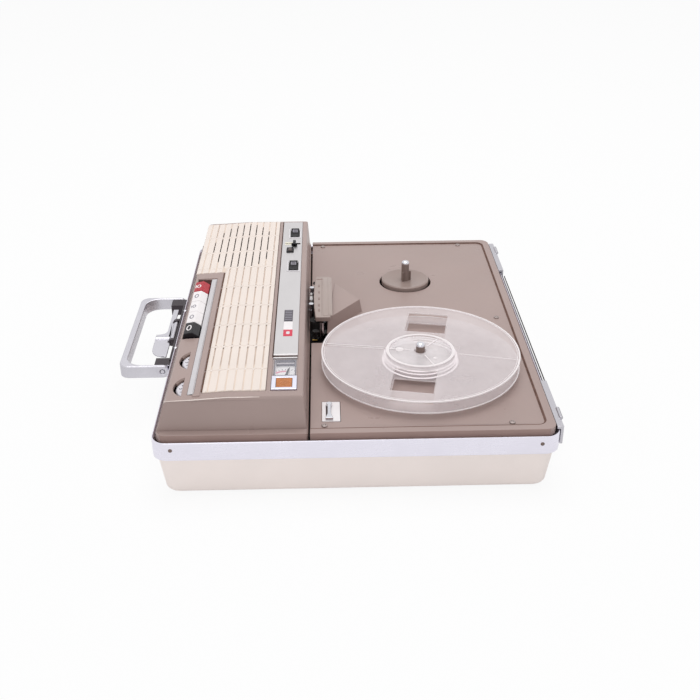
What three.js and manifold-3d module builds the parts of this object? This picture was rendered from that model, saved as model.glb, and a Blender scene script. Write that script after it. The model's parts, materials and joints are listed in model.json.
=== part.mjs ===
// A portable reel-to-reel tape recorder with its lid off, lying flat with its handle folded out.
// Millimetres. +X is the user's right, +Y the rear, +Z up. Everything is placed about the middle of
// the case on the surface it stands on, and at the end the whole is centred over its own bounding box.

import * as THREE from "three";
import { mergeVertices } from "three/addons/utils/BufferGeometryUtils.js";
import Module from "manifold-3d";

const wasm = await Module();
wasm.setup();

// Driving dimensions, piece by piece.
const gap = 0.3;
const overrun = 2;

const caseSize = { width: 405, depth: 334, corner: 13 };
const foot = { radius: 9, height: 2.5, insetX: 37.5, insetY: 36 };
const shell = { height: 37, inset: 3, draft: 4, roundHeight: 5, roundInset: 4, wall: 2.6, tuck: 6.2 };
const band = { height: 17, wall: 2.4, webDrop: 8, webThickness: 2.5, webReach: 3.4 };
const cover = { groove: 1.4, rimRise: 5, deckRise: 3.8, wall: 3, skirt: 2.5, sideLedge: 7.5, rearLedge: 7.5 };
const seam = { y: -39.1, width: 2.6 };

const upper = {
  rise: 34, left: 193, right: 188.5, endLean: 3, rearLean: 2.1, frontLean: 9.7,
  edge: 3, wall: 3, flatDepth: 61.5, frontDrop: 3,
};
const upperFallShares = [[0.3, 0.33], [0.59, 0.67], [0.89, 0.87]];

const grille = {
  left: -188, right: 179, rear: -73.3, front: -124.4, deepFront: -153.8, deepRight: -56,
  slotFront: -150.8, thickness: 1.8, proud: 0.5, ledge: 3, pitch: 7.1, slot: 1.8, groove: 0.9,
  margin: 3.4, rib: 3.2, row: 40.8,
};
const speaker = {
  x: -123, y: -110, radius: 64, narrow: 0.58, flange: 1.6, rim: 5, depth: 22, throat: 32, magnet: 17,
  magnetDepth: 11, wall: 1.6, cone: 56, coneThroat: 20, coneWall: 1.2, sound: 61, soundNarrow: 0.53,
  drop: 6.8, post: 2.5,
};

const strip = { rear: -48.2, front: -69, left: -188, right: 121, thickness: 1, recess: 1.2, end: 179 };
const meter = {
  left: 124.3, right: 153.7, depth: 18, wall: 1.2, window: 1.2, scaleDrop: 6, pivotInset: 4, frame: 1,
};
const needle = { length: 17, width: 1, thickness: 0.6, hub: 1.6, turn: 12, tail: 2.2, height: 1.2 };
const lamp = { left: 156.3, right: 177.8, thickness: 1.6, side: 3.1, inner: 3.6, lensThickness: 2.4 };

const rocker = { length: 20, width: 9, above: 2.4, below: 5.6, dish: 1.5, axle: 1.5, axleReach: 1.5, rest: 8 };
const rockers = { leftX: -153.5, rightX: -66, y: -56, pivotDrop: 5.4, clear: 1 };
const ear = { thickness: 1.5, half: 3.4, bore: 1.8 };
const bracket = { left: -172, right: -48, drop: 19, thickness: 1.6, halfWidth: 8 };
const slider = {
  x: -126, y: -56.2, slotLeft: -66, slotRight: -50, slotWidth: 4.4, stem: 3.4, foot: 9, footThickness: 2,
  bar: 13.5, barWidth: 3.6, cross: 3, crossWidth: 8, height: 3, lift: 0.5,
};
const button = {
  x: -108, y: -60.5, length: 12, width: 7, above: 1.4, below: 4, flange: 1, flangeThickness: 1.8,
};

const keyBed = {
  frameLeft: -55, openLeft: -42, right: 184, frameFront: -150.8, frameRear: -126, barWidth: 6, proud: 1.2,
};
const trim = { rear: -131.3, front: -136.5, left: -41, right: 180, thickness: 1.1, recess: 0.9 };
const key = {
  count: 5, pitch: 22, left: -29, gap: 0.6, front: -151, crest: -143.4, rear: -137.4, frontRise: 35,
  crestRise: 36.5, rearRise: 32.6, bottomRise: 24.5, clear: 1.2, armWidth: 9, armThickness: 5, armFrom: -144,
};
const keyShaft = { y: -112, rise: 21, radius: 3, eye: 5.5, ends: 5, bearing: 3, bearingHalf: 7 };
const keySpring = {
  rear: -92, depth: 8, drop: 12, thickness: 0.8, finger: 6, tip: -121, tipDrop: 2.6, hangerWidth: 3,
  hangerGap: 4,
};

const wheel = {
  radius: 17, thickness: 5, y: -131.3, topDrop: 4.4, bore: 3.3, shaft: 3, chamfer: 0.8,
};
const wheels = { volumeX: 122.5, toneX: 166.5 };
const wheelHole = { rear: -141.5, rim: 1.2 };
const control = { radius: 8, depth: 9, collar: 5 };

const boss = {
  farX: -62, farY: -15, nearX: 23, nearY: -22.8, apexX: -21, apexY: 13.2, rise: 17.6, draft: 3.2, wall: 2.4,
};
const headOpening = { left: -77, right: 43, rear: -22.8 };
const headCover = {
  left: -65, right: 27, front: -33.5, rear: -19.3, bulge: 2, under: 18, thickness: 4.6, wall: 1.4,
};
const headPlate = {
  left: -84, right: 50, front: -43, rear: -8, drop: 7, thickness: 1.6, post: 2.2, postX: 30, foot: 3,
  footInset: 6,
};
const head = { eraseX: -44, playX: -9, y: -28.6, width: 12, depth: 9, height: 13, rise: 4, post: 2.6 };
const guide = {
  leftX: -71, rightX: 36, y: -33.4, collar: 2.4, post: 1.6, flange: 3.2, flangeThickness: 1.2,
  gapHeight: 6.6, rise: 4,
};

const capstan = { x: 26, y: -27.7, radius: 2, rise: 16.6 };
const flywheel = { radius: 32, thickness: 7, drop: 5, hub: 6, web: 3, rim: 8 };
const pinch = {
  rollerX: 15, rollerY: -33, roller: 6.3, height: 10, bore: 1.8, pin: 1.5, rise: 4, pivotX: 4, pivotY: -18,
  arm: 3.2, armThickness: 2, post: 2,
};

const spindle = {
  x: 90.25, middleX: -0.75, y: 60.5, radius: 4, rise: 20, fin: 6, finHeight: 8.5, finWidth: 1.4, tip: 3,
};
const turntable = {
  radius: 24.7, rise: 3.75, hole: 27, top: 3.6, skirt: 2, hub: 8, dip: 1.6, edge: 0.8, dish: 1.8,
};
const reel = {
  radius: 88.9, thickness: 12, flange: 1.5, hub: 31, hubWall: 3, collar: 10, window: 37, windowFrom: 35,
  windowTo: 73, windowTurn: -11, slit: 2.2, slitTurn: -99, notch: 9, keyway: 2, rimBead: 0.5,
};

const speedPlate = { left: 150, right: 180, front: -28, rear: -13, thickness: 1, recess: 0.7 };
const speedLever = {
  pivotX: 156.5, y: -22, tipX: 179, boss: 2.6, neck: 1.5, tip: 3.3, thickness: 2.4, lift: 0.5, pin: 1.6,
  pinDrop: 6,
};

const deckScrew = {
  fromSide: 4.7, fromSeam: 11.8, fromRear: 27.7, middleX: -3, middleFromRear: 11.7, head: 2.5, headHeight: 1,
  shank: 1.4, reach: 9,
};
const chassis = {
  clear: 4.7, lap: 7.2, drop: 10.5, thickness: 1.5, post: 3, bearing: 8, bearingHeight: 3,
};
const motor = {
  x: -55, y: 46, radius: 26, height: 19, flange: 32, flangeThickness: 2, post: 2.5, shaft: 2, raise: 4,
};
const pulley = { radius: 7, flange: 9, flangeThickness: 1.2, groove: 5 };
const belt = { width: 4, thickness: 1 };
const board = {
  fromWall: 11.4, width: 196, depth: 64, rise: 11, thickness: 1.6, standoff: 3,
  can: 7, canHeight: 16, coilSize: 14, coilHeight: 12,
};
const transformer = {
  fromSide: 20.4, fromRear: 18.4, width: 54, depth: 40, height: 33, coilWidth: 30, coilDepth: 54,
  coilHeight: 22,
};

const plate = {
  halfWidth: 62, thickness: 2, drop: 1, height: 14, lugIn: 55, lugReach: 15, lugDrop: 3, lugHeight: 11,
};
const handle = {
  halfWidth: 72.4, reach: 47.4, drop: 2, height: 12.5, arm: 3.2, grip: 6, outerRound: 9, innerRound: 15,
  pivotReach: 7.5, pin: 2,
};
const latch = {
  left: -48, right: 50, stripReach: 6.5, tongueReach: 16.5, tongueLeft: 6, sheet: 1.6, barrel: 2.6,
  barrelHalf: 18, pin: 1.2, pivotReach: 5.3, drop: 5, rollX: 14, roll: 2.4, earThickness: 4, earHalf: 3.6,
};
const rearRail = {
  plateInner: 84.5, plateOuter: 10.5, thickness: 2.4, drop: 14, lift: 3, lipReach: 5.6, prongInner: 38.5,
  prongOuter: 22.5, prong: 1.6, railHeight: 10,
};

// Round parts are cut into this many flats.
const fine = 48;
const medium = 24;
const coarse = 12;
const cornerSteps = 4;

// Levels, in millimetres above the surface that the case stands on.
const bandBottom = foot.height + shell.height;
const bandTop = bandBottom + band.height;
const deckTop = bandTop + cover.deckRise;
const deckUnder = deckTop - cover.wall;
const rimTop = bandTop + cover.rimRise;
const webTop = bandTop - band.webDrop;
const webUnder = webTop - band.webThickness;
const shellFloor = foot.height + shell.wall;
const upperTop = bandTop + upper.rise;
const chassisTop = bandTop - chassis.drop;
const chassisUnder = chassisTop - chassis.thickness;
const headPlateTop = bandTop - headPlate.drop + headPlate.thickness;
const discTop = deckTop + turntable.rise;
const reelBottom = discTop + gap;
const reelTop = reelBottom + reel.thickness;

// The moulded covers' outline inside the band, and the two edges that meet at the seam.
const coverInset = band.wall + cover.groove;
const coverHalfX = caseSize.width / 2 - coverInset;
const coverHalfY = caseSize.depth / 2 - coverInset;
const floorHalfX = coverHalfX - cover.sideLedge;
const floorRear = coverHalfY - cover.rearLedge;
const upperRear = seam.y - seam.width / 2;
const deckFront = seam.y + seam.width / 2;
const caseFront = -caseSize.depth / 2;
const caseRear = caseSize.depth / 2;

// The bottom shell's inside, measured at its floor.
const floorInset = shell.inset + shell.draft + shell.roundInset + shell.wall;
const insideHalfX = caseSize.width / 2 - floorInset;
const insideHalfY = caseSize.depth / 2 - floorInset;

const recorder = new THREE.Group();

// Geometry helpers.

function radians(degrees) {
  return (degrees * Math.PI) / 180;
}

// Six times the signed volume: positive when the triangles face outwards.
function signedVolume(positions, index) {
  const a = new THREE.Vector3();
  const b = new THREE.Vector3();
  const c = new THREE.Vector3();
  let sum = 0;
  for (let i = 0; i < index.length; i += 3) {
    a.fromBufferAttribute(positions, index[i]);
    b.fromBufferAttribute(positions, index[i + 1]);
    c.fromBufferAttribute(positions, index[i + 2]);
    sum += a.dot(b.cross(c));
  }
  return sum;
}

// Shared vertices merged, empty triangles dropped and every face turned outwards.
function weld(geometry) {
  const bare = new THREE.BufferGeometry();
  bare.setAttribute("position", geometry.getAttribute("position"));
  bare.setIndex(geometry.getIndex());
  const merged = mergeVertices(bare);
  const old = merged.getIndex().array;
  const index = [];
  for (let i = 0; i < old.length; i += 3) {
    const [a, b, c] = [old[i], old[i + 1], old[i + 2]];
    if (a !== b && b !== c && c !== a) {
      index.push(a, b, c);
    }
  }
  if (signedVolume(merged.getAttribute("position"), index) < 0) {
    index.reverse();
  }
  merged.setIndex(index);
  return merged;
}

function toSolid(geometry) {
  const body = weld(geometry);
  const vertProperties = new Float32Array(body.getAttribute("position").array);
  const triVerts = new Uint32Array(body.getIndex().array);
  return new wasm.Manifold(new wasm.Mesh({ numProp: 3, vertProperties, triVerts }));
}

function fromSolid(solid) {
  const mesh = solid.getMesh();
  const geometry = new THREE.BufferGeometry();
  geometry.setAttribute("position", new THREE.BufferAttribute(mesh.vertProperties, 3));
  geometry.setIndex(new THREE.BufferAttribute(mesh.triVerts, 1));
  return geometry;
}

function join(first, ...others) {
  return fromSolid(others.reduce((sum, other) => sum.add(toSolid(other)), toSolid(first)));
}

function cut(first, ...tools) {
  return fromSolid(tools.reduce((left, tool) => left.subtract(toSolid(tool)), toSolid(first)));
}

function common(first, ...others) {
  return fromSolid(others.reduce((left, other) => left.intersect(toSolid(other)), toSolid(first)));
}

function box(x0, x1, y0, y1, z0, z1) {
  const geometry = new THREE.BoxGeometry(x1 - x0, y1 - y0, z1 - z0);
  return geometry.translate((x0 + x1) / 2, (y0 + y1) / 2, (z0 + z1) / 2);
}

function upright(radius, x, y, z0, z1, sides = coarse) {
  const geometry = new THREE.CylinderGeometry(radius, radius, z1 - z0, sides);
  return geometry.rotateX(Math.PI / 2).translate(x, y, (z0 + z1) / 2);
}

function rodAlongX(radius, x0, x1, y, z, sides = coarse) {
  const geometry = new THREE.CylinderGeometry(radius, radius, x1 - x0, sides);
  return geometry.rotateZ(Math.PI / 2).translate((x0 + x1) / 2, y, z);
}

function rodAlongY(radius, x, y0, y1, z, sides = coarse) {
  const geometry = new THREE.CylinderGeometry(radius, radius, y1 - y0, sides);
  return geometry.translate(x, (y0 + y1) / 2, z);
}

// A profile of [radius, height] pairs turned about an upright axis at x, y.
function turned(profile, x, y, sides = medium) {
  const points = profile.map(([radius, height]) => new THREE.Vector2(radius, height));
  return new THREE.LatheGeometry(points, sides).rotateX(Math.PI / 2).translate(x, y, 0);
}

function extrudeUp(shape, z0, z1, curveSegments = cornerSteps) {
  const settings = { depth: z1 - z0, bevelEnabled: false, curveSegments };
  return new THREE.ExtrudeGeometry(shape, settings).translate(0, 0, z0);
}

// An outline in Y and Z, carried along X.
function extrudeAlongX(shape, x0, x1, curveSegments = cornerSteps) {
  const settings = { depth: x1 - x0, bevelEnabled: false, curveSegments };
  const turn = new THREE.Matrix4().makeBasis(
    new THREE.Vector3(0, 1, 0), new THREE.Vector3(0, 0, 1), new THREE.Vector3(1, 0, 0));
  return new THREE.ExtrudeGeometry(shape, settings).applyMatrix4(turn).translate(x0, 0, 0);
}

// An outline in X and Z, carried along Y.
function extrudeAlongY(shape, y0, y1, curveSegments = cornerSteps) {
  const settings = { depth: y1 - y0, bevelEnabled: false, curveSegments };
  return new THREE.ExtrudeGeometry(shape, settings).rotateX(Math.PI / 2).translate(0, y1, 0);
}

function outline(points) {
  return new THREE.Shape(points.map(([u, v]) => new THREE.Vector2(u, v)));
}

// A rectangle with round corners between two corners.
function roundedOutline(x0, x1, y0, y1, radius) {
  const shape = new THREE.Shape();
  shape.moveTo(x0 + radius, y0);
  shape.lineTo(x1 - radius, y0);
  shape.absarc(x1 - radius, y0 + radius, radius, -Math.PI / 2, 0);
  shape.lineTo(x1, y1 - radius);
  shape.absarc(x1 - radius, y1 - radius, radius, 0, Math.PI / 2);
  shape.lineTo(x0 + radius, y1);
  shape.absarc(x0 + radius, y1 - radius, radius, Math.PI / 2, Math.PI);
  shape.lineTo(x0, y0 + radius);
  shape.absarc(x0 + radius, y0 + radius, radius, Math.PI, Math.PI * 1.5);
  return shape;
}

// The case's outline drawn in by an inset, with its corners drawn in too.
function caseOutline(inset) {
  const x = caseSize.width / 2 - inset;
  const y = caseSize.depth / 2 - inset;
  return roundedOutline(-x, x, -y, y, Math.max(caseSize.corner - inset, caseSize.corner / 4));
}

function casePrism(inset, z0, z1) {
  return extrudeUp(caseOutline(inset), z0, z1);
}

// Round-cornered rings of one case outline, each at its own inset and height, skinned into one body.
function loftCase(rings) {
  const positions = [];
  const index = [];
  const corners = [[1, 1], [-1, 1], [-1, -1], [1, -1]];
  const perRing = corners.length * (cornerSteps + 1);
  for (const { inset, z } of rings) {
    const radius = Math.max(caseSize.corner - inset / 4, caseSize.corner / 4);
    const x = caseSize.width / 2 - inset - radius;
    const y = caseSize.depth / 2 - inset - radius;
    corners.forEach(([sideX, sideY], quarter) => {
      for (let step = 0; step <= cornerSteps; step += 1) {
        const angle = (Math.PI / 2) * (quarter + step / cornerSteps);
        positions.push(sideX * x + radius * Math.cos(angle), sideY * y + radius * Math.sin(angle), z);
      }
    });
  }
  for (let ring = 0; ring + 1 < rings.length; ring += 1) {
    for (let i = 0; i < perRing; i += 1) {
      const a = ring * perRing + i;
      const b = ring * perRing + ((i + 1) % perRing);
      index.push(a, b, b + perRing, a, b + perRing, a + perRing);
    }
  }
  const last = (rings.length - 1) * perRing;
  for (let i = 1; i + 1 < perRing; i += 1) {
    index.push(0, i + 1, i, last, last + i, last + i + 1);
  }
  const geometry = new THREE.BufferGeometry();
  geometry.setAttribute("position", new THREE.Float32BufferAttribute(positions, 3));
  geometry.setIndex(index);
  return geometry;
}

// A closed body between two like outlines of [x, y] points at two heights.
function loftOutline(lower, upperPoints, z0, z1) {
  const count = lower.length;
  const positions = [];
  const index = [];
  lower.forEach(([x, y]) => positions.push(x, y, z0));
  upperPoints.forEach(([x, y]) => positions.push(x, y, z1));
  for (let i = 0; i < count; i += 1) {
    const j = (i + 1) % count;
    index.push(i, j, count + j, i, count + j, count + i);
  }
  for (let i = 1; i + 1 < count; i += 1) {
    index.push(0, i + 1, i, count, count + i, count + i + 1);
  }
  const geometry = new THREE.BufferGeometry();
  geometry.setAttribute("position", new THREE.Float32BufferAttribute(positions, 3));
  geometry.setIndex(index);
  return geometry;
}

function piece(name, geometry, [color, roughness, metalness]) {
  const body = weld(geometry);
  body.computeVertexNormals();
  const mesh = new THREE.Mesh(body, new THREE.MeshStandardMaterial({ color, roughness, metalness }));
  mesh.name = name;
  recorder.add(mesh);
}

// Finishes as [colour, roughness, metalness].
const finishes = {
  cream: [0xe8dcd6, 0.5, 0],
  taupe: [0xaf9e96, 0.45, 0],
  taupeLight: [0xb9aaa0, 0.5, 0],
  grilleCream: [0xeee4da, 0.55, 0],
  aluminium: [0xe1e0ea, 0.35, 1],
  steel: [0xb8b8bc, 0.4, 1],
  chrome: [0xd8d8de, 0.15, 1],
  black: [0x2a2829, 0.5, 0],
  rubber: [0x242424, 0.9, 0],
  red: [0xcd2d4b, 0.4, 0],
  white: [0xf5eeee, 0.4, 0],
  grey: [0xc9c6c8, 0.5, 0],
  clear: [0xe6dedf, 0.25, 0],
  amber: [0xbe733c, 0.3, 0],
  board: [0x8a6a3c, 0.6, 0],
  paper: [0x4a4038, 0.9, 0],
};

// Case: bottom shell, feet and band.

function shellSkin(inset, bottomLift) {
  const rings = [];
  for (let step = 0; step <= cornerSteps; step += 1) {
    const angle = (Math.PI / 2) * (step / cornerSteps);
    rings.push({
      inset: shell.inset + inset + shell.draft + shell.roundInset * (1 - Math.sin(angle)),
      z: foot.height + bottomLift + shell.roundHeight * (1 - Math.cos(angle)),
    });
  }
  rings.push({ inset: shell.inset + inset, z: bandBottom });
  return rings;
}

function makeShell() {
  const top = bandBottom + shell.tuck;
  const outer = shellSkin(0, 0);
  outer.push({ inset: shell.inset, z: top });
  const inner = shellSkin(shell.wall, shell.wall);
  inner.push({ inset: shell.inset + shell.wall, z: top + overrun });
  piece("bottom_shell", cut(loftCase(outer), loftCase(inner)), finishes.cream);
}

function makeFeet() {
  const x = caseSize.width / 2 - foot.insetX;
  const y = caseSize.depth / 2 - foot.insetY;
  const spots = [
    ["foot_front_left", -x, -y], ["foot_front_right", x, -y], ["foot_rear_left", -x, y],
    ["foot_rear_right", x, y],
  ];
  for (const [name, footX, footY] of spots) {
    piece(name, upright(foot.radius, footX, footY, 0, foot.height - gap), finishes.rubber);
  }
}

function makeBand() {
  const wall = cut(
    casePrism(0, bandBottom, bandTop),
    casePrism(band.wall, bandBottom - overrun, bandTop + overrun));
  const web = cut(
    casePrism(band.wall / 2, webUnder, webTop),
    casePrism(band.wall + band.webReach, webUnder - overrun, webTop + overrun));
  piece("trim_band", join(wall, web), finishes.aluminium);
}

// The two moulded covers share one rimmed outline, cut at the seam.

const coverFoot = webTop + gap;

function rimmedCover() {
  const block = casePrism(coverInset, coverFoot, rimTop);
  const floor = extrudeUp(
    roundedOutline(-floorHalfX, floorHalfX, -caseSize.depth, floorRear, cover.sideLedge), deckTop,
    rimTop + overrun);
  const hollow = casePrism(coverInset + cover.skirt, coverFoot - overrun, deckUnder);
  return cut(block, floor, hollow);
}

function bossOutline(inset) {
  const points = [
    [boss.farX, boss.farY], [boss.nearX, boss.nearY], [boss.apexX, boss.apexY],
  ];
  const middleX = (boss.farX + boss.nearX + boss.apexX) / 3;
  const middleY = (boss.farY + boss.nearY + boss.apexY) / 3;
  return points.map(([x, y]) => {
    const length = Math.hypot(x - middleX, y - middleY);
    const share = (length - inset) / length;
    return [middleX + (x - middleX) * share, middleY + (y - middleY) * share];
  });
}

function bossBody(inset, z0, z1) {
  return loftOutline(bossOutline(inset), bossOutline(inset + boss.draft), z0, z1);
}

const supplyX = spindle.middleX - spindle.x;
const takeupX = spindle.middleX + spindle.x;
const spindleXs = [supplyX, takeupX];
const screwX = floorHalfX - deckScrew.fromSide;
const screwFront = deckFront + deckScrew.fromSeam;
const screwRear = floorRear - deckScrew.fromRear;
const deckScrewSpots = [
  [-screwX, screwFront, "deck_screw_front_left"], [screwX, screwFront, "deck_screw_front_right"],
  [-screwX, screwRear, "deck_screw_rear_left"], [screwX, screwRear, "deck_screw_rear_right"],
  [deckScrew.middleX, floorRear - deckScrew.middleFromRear, "deck_screw_rear_middle"],
];

function makeDeck() {
  const rear = common(rimmedCover(), box(-caseSize.width, caseSize.width, deckFront, caseSize.depth, 0,
    upperTop));
  const bossTop = bandTop + boss.rise;
  const withBoss = join(rear, bossBody(0, deckUnder, bossTop));
  const tools = [bossBody(boss.wall * 2, deckUnder - overrun, bossTop - boss.wall)];
  for (const x of spindleXs) {
    tools.push(upright(turntable.hole, x, spindle.y, deckUnder - overrun, deckTop + overrun, fine));
  }
  tools.push(box(headOpening.left, headOpening.right, deckFront - overrun, headOpening.rear,
    deckUnder - overrun, deckTop + overrun));
  tools.push(box(speedPlate.left - gap, speedPlate.right + gap, speedPlate.front - gap, speedPlate.rear + gap,
    deckTop - speedPlate.recess, deckTop + overrun));
  tools.push(upright(speedLever.pin + gap, speedLever.pivotX, speedLever.y, deckUnder - overrun, deckTop));
  for (const [x, y] of deckScrewSpots) {
    tools.push(upright(deckScrew.shank + gap, x, y, deckUnder - overrun, deckTop + overrun, coarse));
  }
  piece("deck_plate", cut(withBoss, ...tools), finishes.taupe);
}

function makeDeckScrews() {
  const under = deckTop + gap;
  const top = under + deckScrew.headHeight;
  for (const [x, y, name] of deckScrewSpots) {
    const screw = turned([
      [0, top - deckScrew.reach], [deckScrew.shank, top - deckScrew.reach], [deckScrew.shank, under],
      [deckScrew.head, under], [deckScrew.head, under + deckScrew.headHeight / 2], [0, top],
    ], x, y, coarse);
    piece(name, screw, finishes.chrome);
  }
}

// Console: the raised moulding at the front and what is set in it.

const upperFront = -coverHalfY;
const upperRearTop = upperRear - upper.rearLean;
const upperFrontTop = upperFront + upper.frontLean;
const flatEnd = upperRearTop - upper.flatDepth;

// Height of the console's outer top at a given y.
function upperHeight(y) {
  const knots = [[0, 0], ...upperFallShares, [1, 1]];
  const along = Math.min(Math.max((y - flatEnd) / (upperFrontTop - flatEnd), 0), 1);
  for (let i = 0; i + 1 < knots.length; i += 1) {
    const [a, downA] = knots[i];
    const [b, downB] = knots[i + 1];
    if (along <= b) {
      return upperTop - upper.frontDrop * (downA + ((along - a) / (b - a)) * (downB - downA));
    }
  }
  return upperTop;
}

// The console seen from its end, grown or drawn in all round by an offset.
function upperSection(offset, footHeight) {
  const round = upper.edge;
  const top = upperTop + offset;
  const rearTop = upperRearTop + offset;
  const frontTop = upperFrontTop - offset;
  const frontHeight = upperHeight(upperFrontTop) + offset;
  const shape = new THREE.Shape();
  shape.moveTo(upperFront - offset, footHeight);
  shape.lineTo(upperRear + offset, footHeight);
  shape.lineTo(rearTop, top - round);
  shape.quadraticCurveTo(rearTop, top, rearTop - round, top);
  shape.lineTo(flatEnd, top);
  for (const [along] of upperFallShares) {
    const y = flatEnd + (upperFrontTop - flatEnd) * along;
    shape.lineTo(Math.max(y, frontTop + round), upperHeight(y) + offset);
  }
  shape.lineTo(frontTop + round, frontHeight);
  shape.quadraticCurveTo(frontTop, frontHeight, frontTop - round / 2, frontHeight - round);
  shape.lineTo(upperFront - offset, footHeight);
  return shape;
}

// The console seen from the front, with leaning ends and round top edges.
function upperEnds(offset, footHeight) {
  const round = upper.edge;
  const top = upperTop + offset;
  const left = -upper.left - offset;
  const right = upper.right + offset;
  const shape = new THREE.Shape();
  shape.moveTo(left - upper.endLean, footHeight);
  shape.lineTo(right + upper.endLean, footHeight);
  shape.lineTo(right, top - round * 2);
  shape.quadraticCurveTo(right - round / 8, top, right - round, top);
  shape.lineTo(left + round, top);
  shape.quadraticCurveTo(left + round / 8, top, left, top - round * 2);
  shape.lineTo(left - upper.endLean, footHeight);
  return shape;
}

function upperBody(offset, footHeight) {
  return common(
    extrudeAlongX(upperSection(offset, footHeight), -caseSize.width / 2, caseSize.width / 2),
    extrudeAlongY(upperEnds(offset, footHeight), -caseSize.depth / 2, 0));
}

// Everything within an offset of the console's outer top, between two ends.
function underSkin(offset, x0, x1) {
  return extrudeAlongX(upperSection(offset, bandTop), x0, x1);
}

function grilleOutline(grow) {
  const { left, right, rear, front, deepFront, deepRight } = grille;
  return outline([
    [left - grow, deepFront - grow], [deepRight + grow, deepFront - grow], [deepRight + grow, front - grow],
    [right + grow, front - grow], [right + grow, rear + grow], [left - grow, rear + grow],
  ]);
}

// A part of the console's skin, between two depths under its outer top, within a plan outline.
function skinPanel(planShape, above, below) {
  const plan = extrudeUp(planShape, bandTop, upperTop + upper.rise);
  const x = caseSize.width / 2;
  return cut(common(plan, underSkin(above, -x, x)), underSkin(-below, -x - overrun, x + overrun));
}

function rectangle(x0, x1, y0, y1) {
  return outline([[x0, y0], [x1, y0], [x1, y1], [x0, y1]]);
}

const keyX = (number) => key.left + key.pitch * number;
const keysRight = keyX(key.count);
const rockerY0 = rockers.y - rocker.width / 2;
const rockerY1 = rockers.y + rocker.width / 2;
const wheelTop = upperTop - wheel.topDrop;

function throughTop(x0, x1, y0, y1) {
  return box(x0, x1, y0, y1, upperTop - upper.rise / 2, upperTop + upper.rise);
}

function rockerHole(x, grow) {
  const half = rocker.length / 2 + grow;
  return throughTop(x - half, x + half, rockerY0 - grow, rockerY1 + grow);
}

function sliderHole(grow) {
  const half = slider.slotWidth / 2 + grow;
  return throughTop(slider.x - half, slider.x + half, slider.slotLeft - grow, slider.slotRight + grow);
}

function buttonHole(grow) {
  const halfX = button.length / 2 + grow;
  const halfY = button.width / 2 + grow;
  return throughTop(button.x - halfX, button.x + halfX, button.y - halfY, button.y + halfY);
}

// A wheel's opening follows its front edge and ends behind in a straight side.
function wheelHoleBody(x) {
  const reach = wheel.radius + wheelHole.rim;
  const round = upright(reach, x, wheel.y, wheelTop - wheel.thickness - overrun, upperTop + upper.rise, fine);
  return common(round, throughTop(x - reach, x + reach, wheel.y - reach, wheelHole.rear));
}

function soundOpening() {
  const oval = upright(speaker.sound, 0, 0, bandTop, upperTop + upper.rise, fine);
  return oval.scale(1, speaker.soundNarrow, 1).translate(speaker.x, speaker.y, 0);
}

function makeConsole() {
  const front = common(rimmedCover(), box(-caseSize.width, caseSize.width, -caseSize.depth, upperRear, 0,
    upperTop));
  const hollow = upperBody(-upper.wall, coverFoot - overrun);
  const frameRight = keyBed.right;
  const frameBar = skinPanel(
    rectangle(keyBed.frameLeft, frameRight, keyBed.frameRear - keyBed.barWidth, keyBed.frameRear),
    keyBed.proud, upper.wall);
  const farBar = skinPanel(
    rectangle(keyBed.frameLeft, keyBed.openLeft, keyBed.frameFront, keyBed.frameRear), keyBed.proud,
    upper.wall);
  const speakerTop = upperTop - speaker.drop;
  const speakerPosts = [[1, 0], [-1, 0], [0, 1], [0, -1]].map(([alongX, alongY]) => {
    const reach = speaker.radius - speaker.post;
    const y = speaker.y + alongY * reach * speaker.narrow;
    return upright(speaker.post, speaker.x + alongX * reach, y, speakerTop + gap,
      upperHeight(y) - upper.wall / 2);
  });
  const body = join(cut(join(front, upperBody(0, deckUnder)), hollow), frameBar, farBar, ...speakerPosts);
  const ledge = skinPanel(grilleOutline(-grille.ledge), upper.wall, upper.wall * 2);
  const tools = [
    skinPanel(grilleOutline(gap), upper.rise, grille.thickness - grille.proud + gap),
    common(ledge, soundOpening()),
    box(strip.left - gap, strip.end + gap, strip.front - gap, strip.rear + gap,
      upperTop - strip.recess, upperTop + upper.rise),
    rockerHole(rockers.leftX, rockers.clear), rockerHole(rockers.rightX, rockers.clear),
    sliderHole(rockers.clear), buttonHole(rockers.clear / 2),
    throughTop(meter.left + meter.frame, meter.right - meter.frame, strip.front + meter.frame,
    strip.rear - meter.frame),
    throughTop(lamp.left + lamp.side, lamp.right - lamp.side, strip.front + lamp.inner,
    strip.rear - lamp.inner),
    throughTop(key.left - key.clear, keysRight + key.clear, key.front - key.clear, key.rear + key.clear),
    skinPanel(rectangle(trim.left - gap, trim.right + gap, trim.front - gap, trim.rear + gap), upper.rise,
    trim.recess),
  ];
  for (const x of [wheels.volumeX, wheels.toneX]) {
    tools.push(wheelHoleBody(x));
    tools.push(upright(wheel.radius + wheelHole.rim, x, wheel.y, bandTop, wheelTop + gap, fine));
  }
  piece("console_cover", cut(body, ...tools), finishes.taupe);
}

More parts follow.
